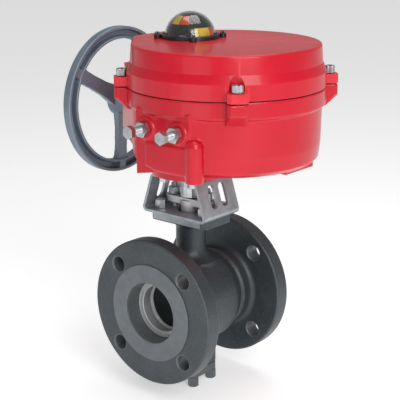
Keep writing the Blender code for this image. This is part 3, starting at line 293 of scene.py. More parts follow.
# ---------------------------------------------------------------- objects
def mesh_object(name, *shapes):
    """One object, in metres, from one or more shapes."""
    mesh = bpy.data.meshes.new(name)
    whole = bmesh.new()
    for shape in shapes:
        bmesh.ops.recalc_face_normals(shape, faces=shape.faces)
        part = bpy.data.meshes.new("part")
        shape.to_mesh(part)
        shape.free()
        whole.from_mesh(part)
        bpy.data.meshes.remove(part)
    whole.to_mesh(mesh)
    whole.free()
    mesh.transform(Matrix.Scale(MM, 4))
    made = bpy.data.objects.new(name, mesh)
    bpy.context.scene.collection.objects.link(made)
    return made


def take_shape(target):
    """Turn an object back into a shape."""
    target.data.transform(Matrix.Scale(1 / MM, 4))
    shape = bmesh.new()
    shape.from_mesh(target.data)
    bpy.data.objects.remove(target)
    return shape


def settle(target):
    """Apply the target's modifiers to its mesh."""
    graph = bpy.context.evaluated_depsgraph_get()
    mesh = bpy.data.meshes.new_from_object(target.evaluated_get(graph))
    old = target.data
    target.modifiers.clear()
    target.data = mesh
    bpy.data.meshes.remove(old)


def combine(target, operation, shapes):
    """Join, cut or intersect a target with shapes, one after another."""
    for shape in shapes:
        helper = mesh_object("helper", shape)
        modifier = target.modifiers.new("combine", "BOOLEAN")
        modifier.operation = operation
        modifier.solver = "MANIFOLD"
        modifier.object = helper
        settle(target)
        bpy.data.objects.remove(helper)


def cast_skin(target, voxel, rounds):
    """Melt overlapping solids into one casting with rounded edges and fillets."""
    skin = target.modifiers.new("skin", "REMESH")
    skin.mode = "VOXEL"
    skin.voxel_size = voxel * MM
    fillet = target.modifiers.new("fillet", "SMOOTH")
    fillet.factor = 0.5
    fillet.iterations = rounds
    settle(target)


def soften(target, width, segments=2, angle=30):
    """Round the sharp edges a little."""
    bevel = target.modifiers.new("soften", "BEVEL")
    bevel.width = width * MM
    bevel.segments = segments
    bevel.limit_method = "ANGLE"
    bevel.angle_limit = math.radians(angle)
    settle(target)


def dress(target, finish, body, slot, *replaced, sharp=35, flat_faces=True):
    """Shade, paint and place a finished piece on its body; flat faces keep their own direction."""
    target.data.shade_smooth()
    target.data.set_sharp_from_angle(angle=math.radians(sharp))
    if flat_faces:
        even = target.modifiers.new("even", "WEIGHTED_NORMAL")
        even.keep_sharp = True
        settle(target)
    target.data.materials.clear()
    target.data.materials.append(finish)
    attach(target, body)
    if replaced:
        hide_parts(*replaced)


# ---------------------------------------------------------------- materials
class Finish:
    """A small builder for a procedural Principled material."""

    def __init__(self, name, colour, roughness, metallic=0.0):
        self.material = bpy.data.materials.new(name)
        self.material.use_nodes = True
        self.tree = self.material.node_tree
        self.shader = self.tree.nodes["Principled BSDF"]
        self.set(base_color=(*colour, 1), roughness=roughness, metallic=metallic)
        self.place = self.node("TexCoord").outputs["Object"]
        self.height = None

    def set(self, **values):
        """Set constants of the Principled shader."""
        for name, value in values.items():
            self.shader.inputs[name.replace("_", " ").title().replace("Ior", "IOR")].default_value = value

    def node(self, kind, **inputs):
        """A new shader node with some of its inputs set."""
        made = self.tree.nodes.new("ShaderNode" + kind)
        for name, value in inputs.items():
            made.inputs[name.replace("_", " ")].default_value = value
        return made

    def link(self, source, target):
        """Join an output to an input."""
        self.tree.links.new(source, target)

    def stretched(self, scale):
        """The object's coordinates, scaled along each axis."""
        mapping = self.node("Mapping", Scale=scale)
        self.link(self.place, mapping.inputs["Vector"])
        return mapping.outputs["Vector"]

    def noise(self, scale, detail=4.0, roughness=0.55, stretch=None):
        """Fractal noise; scale is features per metre."""
        node = self.node("TexNoise", Scale=scale, Detail=detail, Roughness=roughness)
        self.link(self.stretched(stretch) if stretch else self.place, node.inputs["Vector"])
        return node.outputs["Fac"]

    def pits(self, scale):
        """Small round dimples; scale is features per metre."""
        node = self.node("TexVoronoi", Scale=scale)
        self.link(self.place, node.inputs["Vector"])
        return node.outputs["Distance"]

    def rings(self, axis_scale, per_metre):
        """Concentric machining marks about an axis, given as the scale that flattens it."""
        node = self.node("TexWave", Scale=per_metre / 3.2, Distortion=0.4)
        node.wave_type = "RINGS"
        node.rings_direction = "SPHERICAL"
        self.link(self.stretched(axis_scale), node.inputs["Vector"])
        return node.outputs["Fac"]

    def edges(self):
        """High on convex outer edges and low in creases."""
        return self.node("NewGeometry").outputs["Pointiness"]

    def ramp(self, source, low, high, low_colour, high_colour):
        """Turn a value into a blend of two colours."""
        node = self.node("ValToRGB")
        node.color_ramp.elements[0].position = low
        node.color_ramp.elements[1].position = high
        node.color_ramp.elements[0].color = (*low_colour, 1)
        node.color_ramp.elements[1].color = (*high_colour, 1)
        self.link(source, node.inputs["Fac"])
        return node.outputs["Color"]

    def mix(self, factor, first, second):
        """Blend two colours by a factor."""
        node = self.node("Mix")
        node.data_type = "RGBA"
        self.link(factor, node.inputs["Factor"])
        self.link(first, node.inputs["A"])
        self.link(second, node.inputs["B"])
        return node.outputs["Result"]

    def colour(self, source):
        """Drive the base colour."""
        self.link(source, self.shader.inputs["Base Color"])

    def roughness(self, source, low, high):
        """Drive the roughness between two values."""
        node = self.node("MapRange", To_Min=low, To_Max=high)
        self.link(source, node.inputs["Value"])
        self.link(node.outputs["Result"], self.shader.inputs["Roughness"])

    def bump(self, source, strength, depth):
        """Add a layer of relief; depth is in metres."""
        node = self.node("Bump", Strength=strength, Distance=depth)
        self.link(source, node.inputs["Height"])
        if self.height is not None:
            self.link(self.height, node.inputs["Normal"])
        self.height = node.outputs["Normal"]
        self.link(self.height, self.shader.inputs["Normal"])


def red_paint():
    """Semi-gloss powder coat over a fine casting: orange peel, slight mottling and a painted highlight of
    paler pink on convex edges.
    """
    finish = Finish("red_paint", (0.6, 0.003, 0.010), 0.3)
    finish.set(specular_ior_level=0.3, coat_weight=0.3, coat_roughness=0.08)
    mottled = finish.ramp(finish.noise(14, 3), 0.35, 0.68, (0.52, 0.001, 0.014), (0.59, 0.002, 0.019))
    # Painted highlight: a paler pink laid on convex edges through the edge mask below.
    edge_highlight_colour = finish.ramp(finish.noise(45, 2), 0.3, 0.7, (0.72, 0.03, 0.045), (0.68, 0.015, 0.03))
    edge = finish.ramp(finish.edges(), 0.51, 0.56, (0, 0, 0), (1, 1, 1))
    finish.colour(finish.mix(edge, mottled, edge_highlight_colour))
    finish.roughness(finish.noise(60, 4), 0.26, 0.4)
    finish.bump(finish.noise(700, 2), 0.3, 0.00006)
    finish.bump(finish.noise(160, 2), 0.2, 0.00008)
    return finish.material


def cast_steel():
    """Dark grey sand casting: a gritty skin with painted glints as pale specks, and a painted highlight of
    paler grey on convex edges.
    """
    finish = Finish("cast_steel", (0.05, 0.058, 0.062), 0.5, 0.4)
    grit = finish.noise(900, 6, 0.65)
    broad = finish.ramp(finish.noise(26, 5), 0.3, 0.72, (0.040, 0.049, 0.055), (0.070, 0.081, 0.088))
    # Painted glints: pale specks laid over the casting colour.
    glint_colour = finish.ramp(finish.noise(420, 5, 0.7), 0.45, 0.7, (0.040, 0.050, 0.056), (0.17, 0.19, 0.20))
    glint_mask = finish.ramp(finish.noise(560, 4, 0.75), 0.45, 0.65, (0, 0, 0), (0.6, 0.6, 0.6))
    # Painted highlight: a paler grey laid on convex edges through the edge mask below.
    pale_edge_colour = finish.ramp(grit, 0.4, 0.65, (0.12, 0.13, 0.135), (0.2, 0.21, 0.215))
    edge = finish.ramp(finish.edges(), 0.515, 0.57, (0, 0, 0), (0.75, 0.75, 0.75))
    finish.colour(finish.mix(edge, finish.mix(glint_mask, broad, glint_colour), pale_edge_colour))
    finish.roughness(finish.noise(300, 5), 0.28, 0.5)
    finish.bump(grit, 0.9, 0.0004)
    finish.bump(finish.pits(420), 0.35, 0.00025)
    return finish.material


def machined_ring():
    """Machined flange face: paler steel with concentric serrations about the pipe axis."""
    finish = Finish("machined_ring", (0.17, 0.185, 0.2), 0.5, 0.35)
    finish.colour(finish.ramp(finish.noise(60, 5), 0.3, 0.7, (0.125, 0.140, 0.152), (0.165, 0.182, 0.195)))
    finish.roughness(finish.noise(200, 4), 0.4, 0.54)
    finish.bump(finish.rings((1, 0, 1), 700), 0.9, 0.0002)
    finish.bump(finish.noise(900, 4), 0.15, 0.00008)
    return finish.material


def plate_steel():
    """Galvanised plate: pale clouded zinc with fine scratches."""
    finish = Finish("plate_steel", (0.40, 0.43, 0.45), 0.42, 0.65)
    finish.colour(finish.ramp(finish.noise(70, 6), 0.3, 0.7, (0.33, 0.36, 0.385), (0.48, 0.52, 0.545)))
    finish.roughness(finish.noise(120, 5, 0.6, (1, 1, 9)), 0.36, 0.54)
    finish.bump(finish.noise(240, 3, 0.5, (6, 6, 0.5)), 0.2, 0.00006)
    finish.bump(finish.noise(800, 3), 0.12, 0.00008)
    return finish.material


def satin_steel():
    """Turned stainless steel with a satin skin."""
    finish = Finish("satin_steel", (0.6, 0.61, 0.62), 0.42, 0.6)
    finish.colour(finish.ramp(finish.noise(90, 4), 0.3, 0.7, (0.52, 0.53, 0.54), (0.64, 0.65, 0.66)))
    finish.roughness(finish.noise(200, 3), 0.36, 0.48)
    finish.bump(finish.noise(700, 2), 0.1, 0.00004)
    return finish.material


def bright_steel(name="bright_steel", colour=(0.58, 0.60, 0.62), low=0.22, high=0.4):
    """Machined or plated steel with fine tool marks."""
    finish = Finish(name, colour, 0.24, 1.0)
    darker = tuple(0.72 * value for value in colour)
    finish.colour(finish.ramp(finish.noise(130, 5), 0.3, 0.7, darker, colour))
    finish.roughness(finish.noise(260, 4), low, high)
    finish.bump(finish.noise(1100, 3, 0.5, (1, 1, 4)), 0.2, 0.00006)
    return finish.material


def wheel_paint():
    """Blue-grey enamel over cast iron, paler on its convex edges."""
    finish = Finish("wheel_paint", (0.18, 0.21, 0.25), 0.42, 0.3)
    base = finish.ramp(finish.noise(30, 4), 0.3, 0.7, (0.14, 0.18, 0.225), (0.20, 0.245, 0.30))
    # A paler blue-grey laid on convex edges through the edge mask below.
    pale_edge_colour = finish.ramp(finish.noise(200, 4), 0.4, 0.6, (0.36, 0.42, 0.46), (0.46, 0.52, 0.56))
    edge = finish.ramp(finish.edges(), 0.52, 0.58, (0, 0, 0), (0.85, 0.85, 0.85))
    finish.colour(finish.mix(edge, base, pale_edge_colour))
    finish.roughness(finish.noise(90, 4), 0.32, 0.52)
    finish.bump(finish.noise(500, 4), 0.4, 0.00012)
    return finish.material


def clear_plastic():
    """Clear moulded dome with faint flow marks."""
    finish = Finish("clear_dome", (0.96, 0.97, 0.97), 0.03)
    finish.set(transmission_weight=1.0, ior=1.45)
    finish.roughness(finish.noise(40, 2), 0.01, 0.05)
    finish.bump(finish.noise(70, 1), 0.05, 0.00005)
    return finish.material


def plastic(name, colour, roughness=0.35):
    """Moulded plastic with a fine spark-eroded grain."""
    finish = Finish(name, colour, roughness)
    darker = tuple(0.8 * value for value in colour)
    finish.colour(finish.ramp(finish.noise(80, 3), 0.35, 0.65, darker, colour))
    finish.roughness(finish.noise(220, 3), roughness - 0.08, roughness + 0.1)
    finish.bump(finish.noise(1500, 2), 0.25, 0.00005)
    return finish.material


def sealing(name, colour):
    """Rubber, graphite or polymer of a seal."""
    finish = Finish(name, colour, 0.65)
    paler = tuple(min(1, 1.5 * value) for value in colour)
    finish.colour(finish.ramp(finish.noise(150, 5), 0.3, 0.7, colour, paler))
    finish.roughness(finish.noise(300, 3), 0.5, 0.75)
    finish.bump(finish.noise(900, 4), 0.4, 0.0001)
    return finish.material


# ---------------------------------------------------------------- valve
def diagonal_points(half_x, half_y=None):
    """The four corners of a rectangle about the origin."""
    reach = half_x if half_y is None else half_y
    return [(-half_x, -reach), (half_x, -reach), (half_x, reach), (-half_x, reach)]


def valve_outline():
    """Half section of the outside of the valve body along the pipe."""
    rim = 1.2
    fillet = 7
    inlet_rim = INLET_FACE + RAISED_HEIGHT
    inlet_back = INLET_FACE + FLANGE_THICKNESS
    outlet_rim = OUTLET_FACE - RAISED_HEIGHT
    outlet_back = OUTLET_FACE - FLANGE_THICKNESS
    outline = [(0, inlet_rim), (FLANGE_RADIUS - rim, inlet_rim), (FLANGE_RADIUS, inlet_rim + rim),
               (FLANGE_RADIUS, inlet_back - rim), (FLANGE_RADIUS - rim, inlet_back)]
    outline += arc((BARREL_RADIUS + fillet, inlet_back + fillet), fillet, 270, 180, 8)
    outline += [(BARREL_RADIUS, 22), (BARREL_RADIUS - 4, 32), (52, 38),
                (51, 42), (54, 46)]
    outline += arc((53 + fillet, outlet_back - fillet), fillet, 180, 90, 8)
    outline += [(FLANGE_RADIUS - rim, outlet_back), (FLANGE_RADIUS, outlet_back + rim),
                (FLANGE_RADIUS, outlet_rim - rim), (FLANGE_RADIUS - rim, outlet_rim), (0, outlet_rim)]
    return outline


def neck_outline():
    """Half section of the neck, flared where it leaves the barrel."""
    foot = 14
    outline = [(0, 40), (38, 40), (36, 54)]
    outline += arc((NECK_RADIUS + foot, 70), foot, 250, 180, 10)
    outline += [(NECK_RADIUS, 98), (NECK_RADIUS + 5, PAD_BOTTOM + 1), (0, PAD_BOTTOM + 1)]
    return outline


def pad_outline():
    """The pad that carries the bracket, a rectangle with cut corners."""
    half_x, half_y = PAD_HALF
    points = []
    for x, y in diagonal_points(1, 1):
        long_way = (x * half_x, y * (half_y - PAD_CHAMFER))
        short_way = (x * (half_x - PAD_CHAMFER), y * half_y)
        points += [long_way, short_way] if x * y > 0 else [short_way, long_way]
    return points


def valve_cuts():
    """Machined bores and holes of the valve body."""
    start, end = INLET_FACE - 8, OUTLET_FACE + 8
    chamber = 52
    bore = [(0, start), (BORE_RADIUS + 1, start), (BORE_RADIUS + 1, INLET_FACE + 1),
            (BORE_RADIUS, INLET_FACE + 2), (BORE_RADIUS, -38), (chamber, -38), (chamber, 31),
            (BORE_RADIUS, 44), (BORE_RADIUS, end), (0, end)]
    cuts = [aim(turned(bore), (0, 1, 0)), rod(11, 30, 120), rod(STEM_RADIUS + GAP, -100, -30)]
    rim = 1.3
    wide = FLANGE_HOLE + rim
    depth = FLANGE_THICKNESS - RAISED_HEIGHT
    profile = [(0, -6), (wide, -6), (wide, 0), (FLANGE_HOLE, rim), (FLANGE_HOLE, depth - rim),
               (wide, depth), (wide, depth + 6), (0, depth + 6)]
    for face, inward in ((INLET_FACE + RAISED_HEIGHT, 1), (OUTLET_FACE - RAISED_HEIGHT, -1)):
        for across, upward in diagonal_points(BOLT_CIRCLE * math.sqrt(0.5)):
            cuts.append(move(aim(turned(profile, MEDIUM), (0, inward, 0)), (across, face, upward)))
    cuts += pins(diagonal_points(*PAD_BOLTS), BRACKET_BOLT_HOLE, PAD_TOP - 20, PAD_TOP + 9)
    cuts += pins(GLAND_STUDS, GLAND_STUD_RADIUS + GAP, PAD_TOP - 14, PAD_TOP + 9)
    return cuts


def make_valve_body(finishes):
    """The casting, then its machined faces, bore and holes, and the raised faces as their own finish."""
    boss = 24.5
    body = mesh_object(
        "valve_body_casting",
        aim(turned(valve_outline()), (0, 1, 0)),
        turned(neck_outline(), 96),
        prism(pad_outline(), PAD_BOTTOM, PAD_TOP),
        loft([(rounded_rectangle(30, 30, 8), -50),
              (rounded_rectangle(boss, boss, 5), -72),
              (rounded_rectangle(boss, boss, 5), -93)]),
    )
    cast_skin(body, 1, 5)
    combine(body, "DIFFERENCE", valve_cuts())
    dress(body, finishes["cast_steel"], "fixed", "cast_steel", "valve_body", sharp=40,
          flat_faces=False)
    for name, face, inward in (("inlet_raised_face", INLET_FACE, 1),
                               ("outlet_raised_face", OUTLET_FACE, -1)):
        make_raised_face(name, face, inward, finishes)
    make_pad_plate(finishes)


def make_raised_face(name, face, inward, finishes):
    """The machined sealing face of one flange, with a dark turned groove at its foot."""
    foot = 3
    ring = aim(turned([
        (BORE_RADIUS + 0.6, foot), (BORE_RADIUS + 0.6, 0.6), (BORE_RADIUS + 1.2, 0),
        (RAISED_RADIUS - 0.5, 0), (RAISED_RADIUS, 0.5), (RAISED_RADIUS, foot)]), (0, inward, 0))
    dress(mesh_object(name, move(ring, (0, face, 0))), finishes["machined_ring"], "fixed", "cast_steel")


def make_pad_plate(finishes):
    """A blank machined strip on the front of the bracket pad."""
    half_x, half_y = PAD_HALF
    half = half_x - PAD_CHAMFER - 1
    strip = block((-half, -half_y - 0.25, PAD_BOTTOM + 1.6),
                  (half, -half_y + 1.5, PAD_TOP - 1.6))
    plate = mesh_object("pad_front_strip", strip)
    dress(plate, finishes["plate_steel"], "fixed", "cast_steel")


def make_seat_retainer(finishes):
    """The bright lip seen inside the inlet bore, with a fine groove in its front face."""
    outer = BORE_RADIUS - GAP
    front, back = -60, -45
    retainer = mesh_object("seat_retainer_ring", aim(turned([
        (31.6, front), (36.6, front), (37, front + 0.4), (37.4, front), (outer, front),
        (outer, back), (32, back), (31, front + 2.5), (31, front + 0.6)]), (0, 1, 0)))
    dress(retainer, finishes["satin_steel"], "fixed", "bright_steel", "seat_retainer")


def hex_head(across_flats, height):
    """A hexagon head from 0 up to its height, with the usual domed chamfer on top."""
    head = mesh_object("head", prism(hexagon(across_flats), 0, height))
    corner = across_flats / math.sqrt(3)
    flat = across_flats / 2
    shoulder = height - 0.64 * (corner - flat)
    combine(head, "INTERSECT", [turned([(0, -1), (corner + 1, -1), (corner + 1, shoulder),
                                        (flat * 0.97, height), (0, height)], MEDIUM)])
    return take_shape(head)


def make_hex_screw(name, place, direction, shank, head, finish, slot="bright_steel"):
    """A hexagon screw: head on the far side of a point, shank along the direction.

    shank is (radius, length, pitch) and head is (across flats, height).
    """
    radius, length, pitch = shank
    across, height = head
    shapes = [aim(hex_head(across, height), (0, 0, -1)), thread(radius, pitch, -height / 2, length)]
    screw = mesh_object(name, *[move(aim(shape, direction), place) for shape in shapes])
    dress(screw, finish, "fixed", slot, name_to_node(name), sharp=28)


def name_to_node(name):
    """The CAD node that a finer piece stands for: its name without the ending."""
    return name.removesuffix("_fine")


def make_lower_cover(finishes):
    """Cover plate and bolts under the valve."""
    bottom, top = -105, -94.8
    bolts = diagonal_points(18)
    plate = mesh_object("lower_cover_fine", prism(rounded_rectangle(24, 24, 4), bottom, top))
    combine(plate, "DIFFERENCE", pins(bolts, 3.4, bottom - 15, bottom + 25, 24))
    soften(plate, 0.8)
    dress(plate, finishes["cast_steel"], "fixed", "cast_steel", "lower_cover")
    for number, (x, y) in enumerate(bolts, start=1):
        make_hex_screw(f"lower_cover_bolt_{number}_fine", (x, y, bottom - GAP), (0, 0, 1),
                       (3, 22, 1), (12.5, 12), finishes["dark_steel"], "dark_steel")


def make_gland(finishes):
    """Gland follower with its round neck, studs and nuts."""
    tip = 11
    outline = arc((GLAND_STUD_OFFSET, 0), tip, -90, 90, 16) + arc((-GLAND_STUD_OFFSET, 0), tip, 90, 270, 16)
    gland = mesh_object("gland_follower_fine", prism(outline, GLAND_TOP - 8.5, GLAND_TOP))
    combine(gland, "UNION", [rod(14, GLAND_TOP - 9.5, GLAND_TOP - 3),
                             rod(13, BRACKET_BOTTOM, GLAND_TOP - 6),
                             rod(10.7, 112.5, 127)])
    stud_holes = pins(GLAND_STUDS, GLAND_STUD_RADIUS + GAP, 110, 140)
    combine(gland, "DIFFERENCE", [rod(STEM_RADIUS + GAP, 100, 140), *stud_holes])
    soften(gland, 0.7)
    dress(gland, finishes["satin_steel"], "fixed", "bracket_steel", "gland_follower")
    for side, (x, y) in zip(("left", "right"), GLAND_STUDS):
        upright = thread(GLAND_STUD_RADIUS, 1.5, 102, 151)
        stud = mesh_object(f"gland_stud_{side}_fine", move(upright, (x, y, 0)))
        dress(stud, finishes["bright_steel"], "fixed", "bright_steel", f"gland_stud_{side}", sharp=28)
        make_nut(f"gland_nut_{side}_fine", (x, y, GLAND_TOP + GAP), (0, 0, 1), (15, 9.2, 5.1), finishes)


def make_nut(name, place, direction, size, finishes, body="fixed"):
    """A hexagon nut chamfered at both ends; size is (across flats, height, hole radius)."""
    across_flats, height, hole = size
    nut = mesh_object(name, hex_head(across_flats, height))
    corner = across_flats / math.sqrt(3)
    above = height + 1
    chamfered = turned([(0, 0), (across_flats * 0.48, 0), (corner + 1, 0.9 * (corner - across_flats / 2)),
                        (corner + 1, above), (0, above)], MEDIUM)
    combine(nut, "INTERSECT", [chamfered])
    combine(nut, "DIFFERENCE", [rod(hole, -5, height + 5, 32)])
    turn = Vector((0, 0, 1)).rotation_difference(Vector(direction)).to_matrix().to_4x4()
    nut.data.transform(Matrix.Translation(Vector(place) * MM) @ turn)
    dress(nut, finishes["bright_steel"], body, "bright_steel", name_to_node(name), sharp=28)


def bracket_section(inset):
    """The bracket seen along the pipe, with round corners; inset shrinks it by the plate."""
    slope = (BRACKET_BOTTOM_HALF - BRACKET_TOP_HALF) / (BRACKET_TOP - BRACKET_BOTTOM)
    lean = math.degrees(math.atan(slope))
    bend = 6 - inset
    right = []
    for z, start, end in ((BRACKET_BOTTOM + inset + bend, -90, lean),
                          (BRACKET_TOP - inset - bend, lean, 90)):
        side = BRACKET_BOTTOM_HALF - slope * (z - BRACKET_BOTTOM)
        right += arc((side - (inset + bend) / math.cos(math.radians(lean)), z), bend, start, end, 6)
    return right + [(-x, z) for x, z in reversed(right)]


def make_bracket(finishes):
    """The slotted bracket, bent from plate with rounded bends, and its bolts."""
    outside = along_y(bracket_section(0), -BRACKET_HALF_Y, BRACKET_HALF_Y)
    bracket = mesh_object("mounting_bracket_fine", outside)
    cuts = [along_y(bracket_section(PLATE), -BRACKET_HALF_Y - 5, BRACKET_HALF_Y + 5)]
    half, low, high = 6, 136, 154
    for y in (-10.4, 10.4):
        slot = arc((y, high), half, 0, 180, 16) + arc((y, low), half, 180, 360, 16)
        cuts.append(aim(prism([(-z, across) for across, z in slot], -70, 70), (1, 0, 0)))
    foot = (110, 123)
    head = (160, 175)
    pad_bolts = diagonal_points(*PAD_BOLTS)
    drive_bolts = diagonal_points(DRIVE_BOLT_OFFSET)
    cuts += [rod(17.5, *foot), rod(16.5, *head)]
    cuts += pins(GLAND_STUDS, GLAND_STUD_RADIUS + GAP, *foot)
    cuts += pins(pad_bolts, BRACKET_BOLT_HOLE, *foot)
    cuts += pins(drive_bolts, BRACKET_BOLT_HOLE, *head)
    combine(bracket, "DIFFERENCE", cuts)
    soften(bracket, 0.5, 2, 40)
    dress(bracket, finishes["plate_steel"], "fixed", "bracket_steel", "mounting_bracket")
    steel = finishes["bright_steel"]
    for number, (x, y) in enumerate(pad_bolts, start=1):
        make_hex_screw(f"bracket_bolt_{number}_fine", (x, y, BRACKET_BOTTOM + PLATE + GAP), (0, 0, -1),
                       (4, 14, 1.25), (13, 11), steel)
    for number, (x, y) in enumerate(drive_bolts, start=1):
        make_hex_screw(f"actuator_bolt_{number}_fine", (x, y, BRACKET_TOP - PLATE - GAP), (0, 0, 1),
                       (4, 16, 1.25), (13, 7), steel)


# ---------------------------------------------------------------- actuator castings
def hull_with_nose(radius, nose_x, nose_half, steps=96):
    """The drum outline drawn out into a flat nose over the stem axis, counter-clockwise."""
    reach = math.hypot(DRUM_X - nose_x, nose_half)
    spread = math.degrees(math.acos(radius / reach))
    tangent = math.degrees(math.atan2(nose_half, nose_x - DRUM_X)) - spread
    return arc((DRUM_X, 0), radius, -tangent, tangent, steps) + [(nose_x, nose_half), (nose_x, -nose_half)]


def ear_outline():
    """A bolt lug with cut corners, drawn pointing along +X from the drum axis."""
    root = 105
    chamfer = 4.5
    half = EAR_HALF_WIDTH
    return [(root, -half), (EAR_REACH - chamfer, -half), (EAR_REACH, -half + chamfer),
            (EAR_REACH, half - chamfer), (EAR_REACH - chamfer, half), (root, half)]


def on_drum(shape, angle):
    """Turn a shape drawn at the origin about the drum axis."""
    return move(spin(shape, angle), (DRUM_X, 0, 0))


def ear_place(angle):
    """The axis of one cover screw."""
    return DRUM_X + EAR_RADIUS * math.cos(math.radians(angle)), EAR_RADIUS * math.sin(math.radians(angle))


def nose_outline(inset):
    """The side wall drawn out from the drum towards the handwheel, drawn in by a wall thickness."""
    tip, tip_half = -75 + inset, 45 - 0.7 * inset
    shoulder, shoulder_half = -16 + 0.7 * inset, 91 - inset
    root, root_half = 30, 60
    return [(tip, -tip_half), (shoulder, -shoulder_half), (root, -root_half), (root, root_half),
            (shoulder, shoulder_half), (tip, tip_half)]


def front_block():
    """The block that holds the stop bolts, the raised panel on its face, and its round corner column."""
    foot = 199.5
    outline = [(BLOCK_LEFT, 192.5), (50, foot), (BLOCK_RIGHT, foot), (BLOCK_RIGHT, BLOCK_TOP),
               (BLOCK_LEFT, BLOCK_TOP)]
    low, high, right = 201, 234, 91
    panel = [(47, low), (right, low), (right, high), (30.5, high), (30.5, low + 4.5)]
    bottom = CONDUIT_FACE + 0.4
    column = turned([(0, bottom), (COLUMN_RADIUS, bottom), (COLUMN_RADIUS, 236), (9, 241), (5, 244.5),
                     (0, 245.5)], MEDIUM)
    return [along_y(outline, BLOCK_FACE, -60), along_y(panel, BLOCK_FACE - 1.8, -100),
            move(column, COLUMN_PLACE)]


def block_corner():
    """The upper right corner of the block, whose top climbs to the ring."""
    outline = [(80, BLOCK_FACE), (94.5, BLOCK_FACE), (111, -104), (104, -80),
               (80, -80)]
    shape = prism(outline, 243, BLOCK_TOP)
    for corner in shape.verts:
        if corner.co.z > BLOCK_TOP - 0.001:
            corner.co.z += min(11, 1.2 * (corner.co.y - BLOCK_FACE))
    return shape


def base_solids():
    """The overlapping solids that the lower casting is melted from."""
    drum = [(0, BASE_BOTTOM), (DRUM_RADIUS - 11, BASE_BOTTOM), (DRUM_RADIUS - 3, BASE_BOTTOM + 6),
            (DRUM_RADIUS - 0.8, 222), (DRUM_RADIUS, RING_BOTTOM), (RING_RADIUS, RING_BOTTOM + 3),
            (RING_RADIUS, BASE_TOP), (0, BASE_TOP)]
    nose = nose_outline(0)
    drawn_in = [(x * 0.94, y * 0.94) for x, y in nose]
    ring = hull_with_nose(RING_RADIUS - 0.3, NOSE_TIP, NOSE_HALF)
    solids = [
        move(turned(drum, ROUND_CASTING), (DRUM_X, 0, 0)),
        loft([(drawn_in, 212), (nose, 226), (nose, 279)]),
        prism(ring, RING_BOTTOM + 2, BASE_TOP),
        block((-91, -24, 226), (-70, 24, 271)),
        block((CONDUIT_X - 15, -16, CONDUIT_FACE), (CONDUIT_X + 15, 40, 202)),
        turned([(0, MOUNT_FACE), (50, MOUNT_FACE), (54, 205), (0, 205)]),
        block_corner(),
    ]
    solids += front_block()
    boss_depth = 22
    for offset in STOP_OFFSETS:
        boss = aim(rod(13.5, 0, boss_depth), (0, -1, 0))
        solids.append(move(boss, (DRUM_X + offset, BOSS_FACE + boss_depth, STOP_LEVEL)))
    lug = ear_outline()
    foot = [(min(x, 121), y) for x, y in lug]
    for angle in EAR_ANGLES:
        solids.append(on_drum(loft([(foot, 262), (lug, 275), (lug, BASE_TOP)]), angle))
    return solids


def base_cuts():
    """Machined surfaces and the space inside the lower casting."""
    inner = DRUM_RADIUS - WALL
    hollow = turned([(0, BASE_BOTTOM + WALL), (inner - 11, BASE_BOTTOM + WALL), (inner, 216), (inner, 300),
                     (0, 300)], 96)
    ring = hull_with_nose(inner - 4, NOSE_TIP + WALL, NOSE_HALF - WALL)
    cuts = [
        block((-200, -200, BASE_TOP), (300, 200, BASE_TOP + 20)),
        move(hollow, (DRUM_X, 0, 0)),
        prism(nose_outline(WALL), 218, 273),
        prism(ring, 262, BASE_TOP + 5),
        rod(30, MOUNT_FACE - 5, MOUNT_FACE + 8),
        rod(21, MOUNT_FACE, 225),
        move(aim(rod(10.3, 0, 60), (1, 0, 0)), (-110, 0, SHAFT_LEVEL)),
    ]
    for offset in STOP_OFFSETS:
        hole = aim(rod(5.3, -30, 30, 32), (0, 1, 0))
        cuts.append(move(hole, (DRUM_X + offset, BLOCK_FACE, STOP_LEVEL)))
    cuts += pins(diagonal_points(DRIVE_BOLT_OFFSET), BRACKET_BOLT_HOLE, MOUNT_FACE - 14, MOUNT_FACE + 14)
    cuts += pins([ear_place(angle) for angle in EAR_ANGLES], 4, BASE_TOP - 16, BASE_TOP + 16)
    cuts += pins([(CONDUIT_X, y) for y in CONDUIT_ENTRIES], PLUG_RADIUS + 0.5,
                 CONDUIT_FACE - 5, CONDUIT_FACE + 18)
    return cuts


def make_base(finishes):
    """The lower casting of the actuator."""
    base = mesh_object("base_housing_casting", *base_solids())
    cast_skin(base, 1, 3)
    combine(base, "DIFFERENCE", base_cuts())
    dress(base, finishes["red_paint"], "fixed", "red_paint", "base_housing", sharp=40,
          flat_faces=False)


def cover_solids():
    """The overlapping solids of the top casting, the drum first."""
    fillet = 3
    crown_radius = DRUM_RADIUS - 1.5
    profile = [(0, COVER_BOTTOM), (RING_RADIUS, COVER_BOTTOM), (RING_RADIUS, SHOULDER_LOW),
               (DRUM_RADIUS, SHOULDER_HIGH)]
    profile += arc((crown_radius - fillet, COVER_TOP - fillet), fillet, 0, 90, 8)
    profile.append((0, COVER_TOP))
    shoulder = hull_with_nose(DRUM_RADIUS - 2, -72, 29)
    waist = hull_with_nose(DRUM_RADIUS - 4, -70, 27.5)
    crown = hull_with_nose(DRUM_RADIUS - 7, -67, 25.5)
    solids = [
        move(turned(profile, ROUND_CASTING), (DRUM_X, 0, 0)),
        prism(hull_with_nose(RING_RADIUS - 0.3, NOSE_TIP, NOSE_HALF), COVER_BOTTOM, SHOULDER_LOW),
        loft([(shoulder, COVER_BOTTOM + 1), (shoulder, COVER_TOP - 4.5), (waist, COVER_TOP - 1.6),
              (crown, COVER_TOP - 0.2)]),
    ]
    for angle in EAR_ANGLES:
        solids.append(on_drum(prism(ear_outline(), COVER_BOTTOM + 0.1, EAR_TOP), angle))
    return solids


def screw_pocket(angle):
    """The round-topped recess beside one cover screw."""
    x, y = ear_place(angle)
    radius = POCKET_RADIUS + 0.8
    shoulder = SHOULDER_LOW + 8
    outline = [(0, EAR_TOP), (radius, EAR_TOP)] + arc((0, shoulder), radius, 0, 80, 6)
    outline.append((0, shoulder + radius))
    return move(turned(outline, MEDIUM), (x, y, 0))


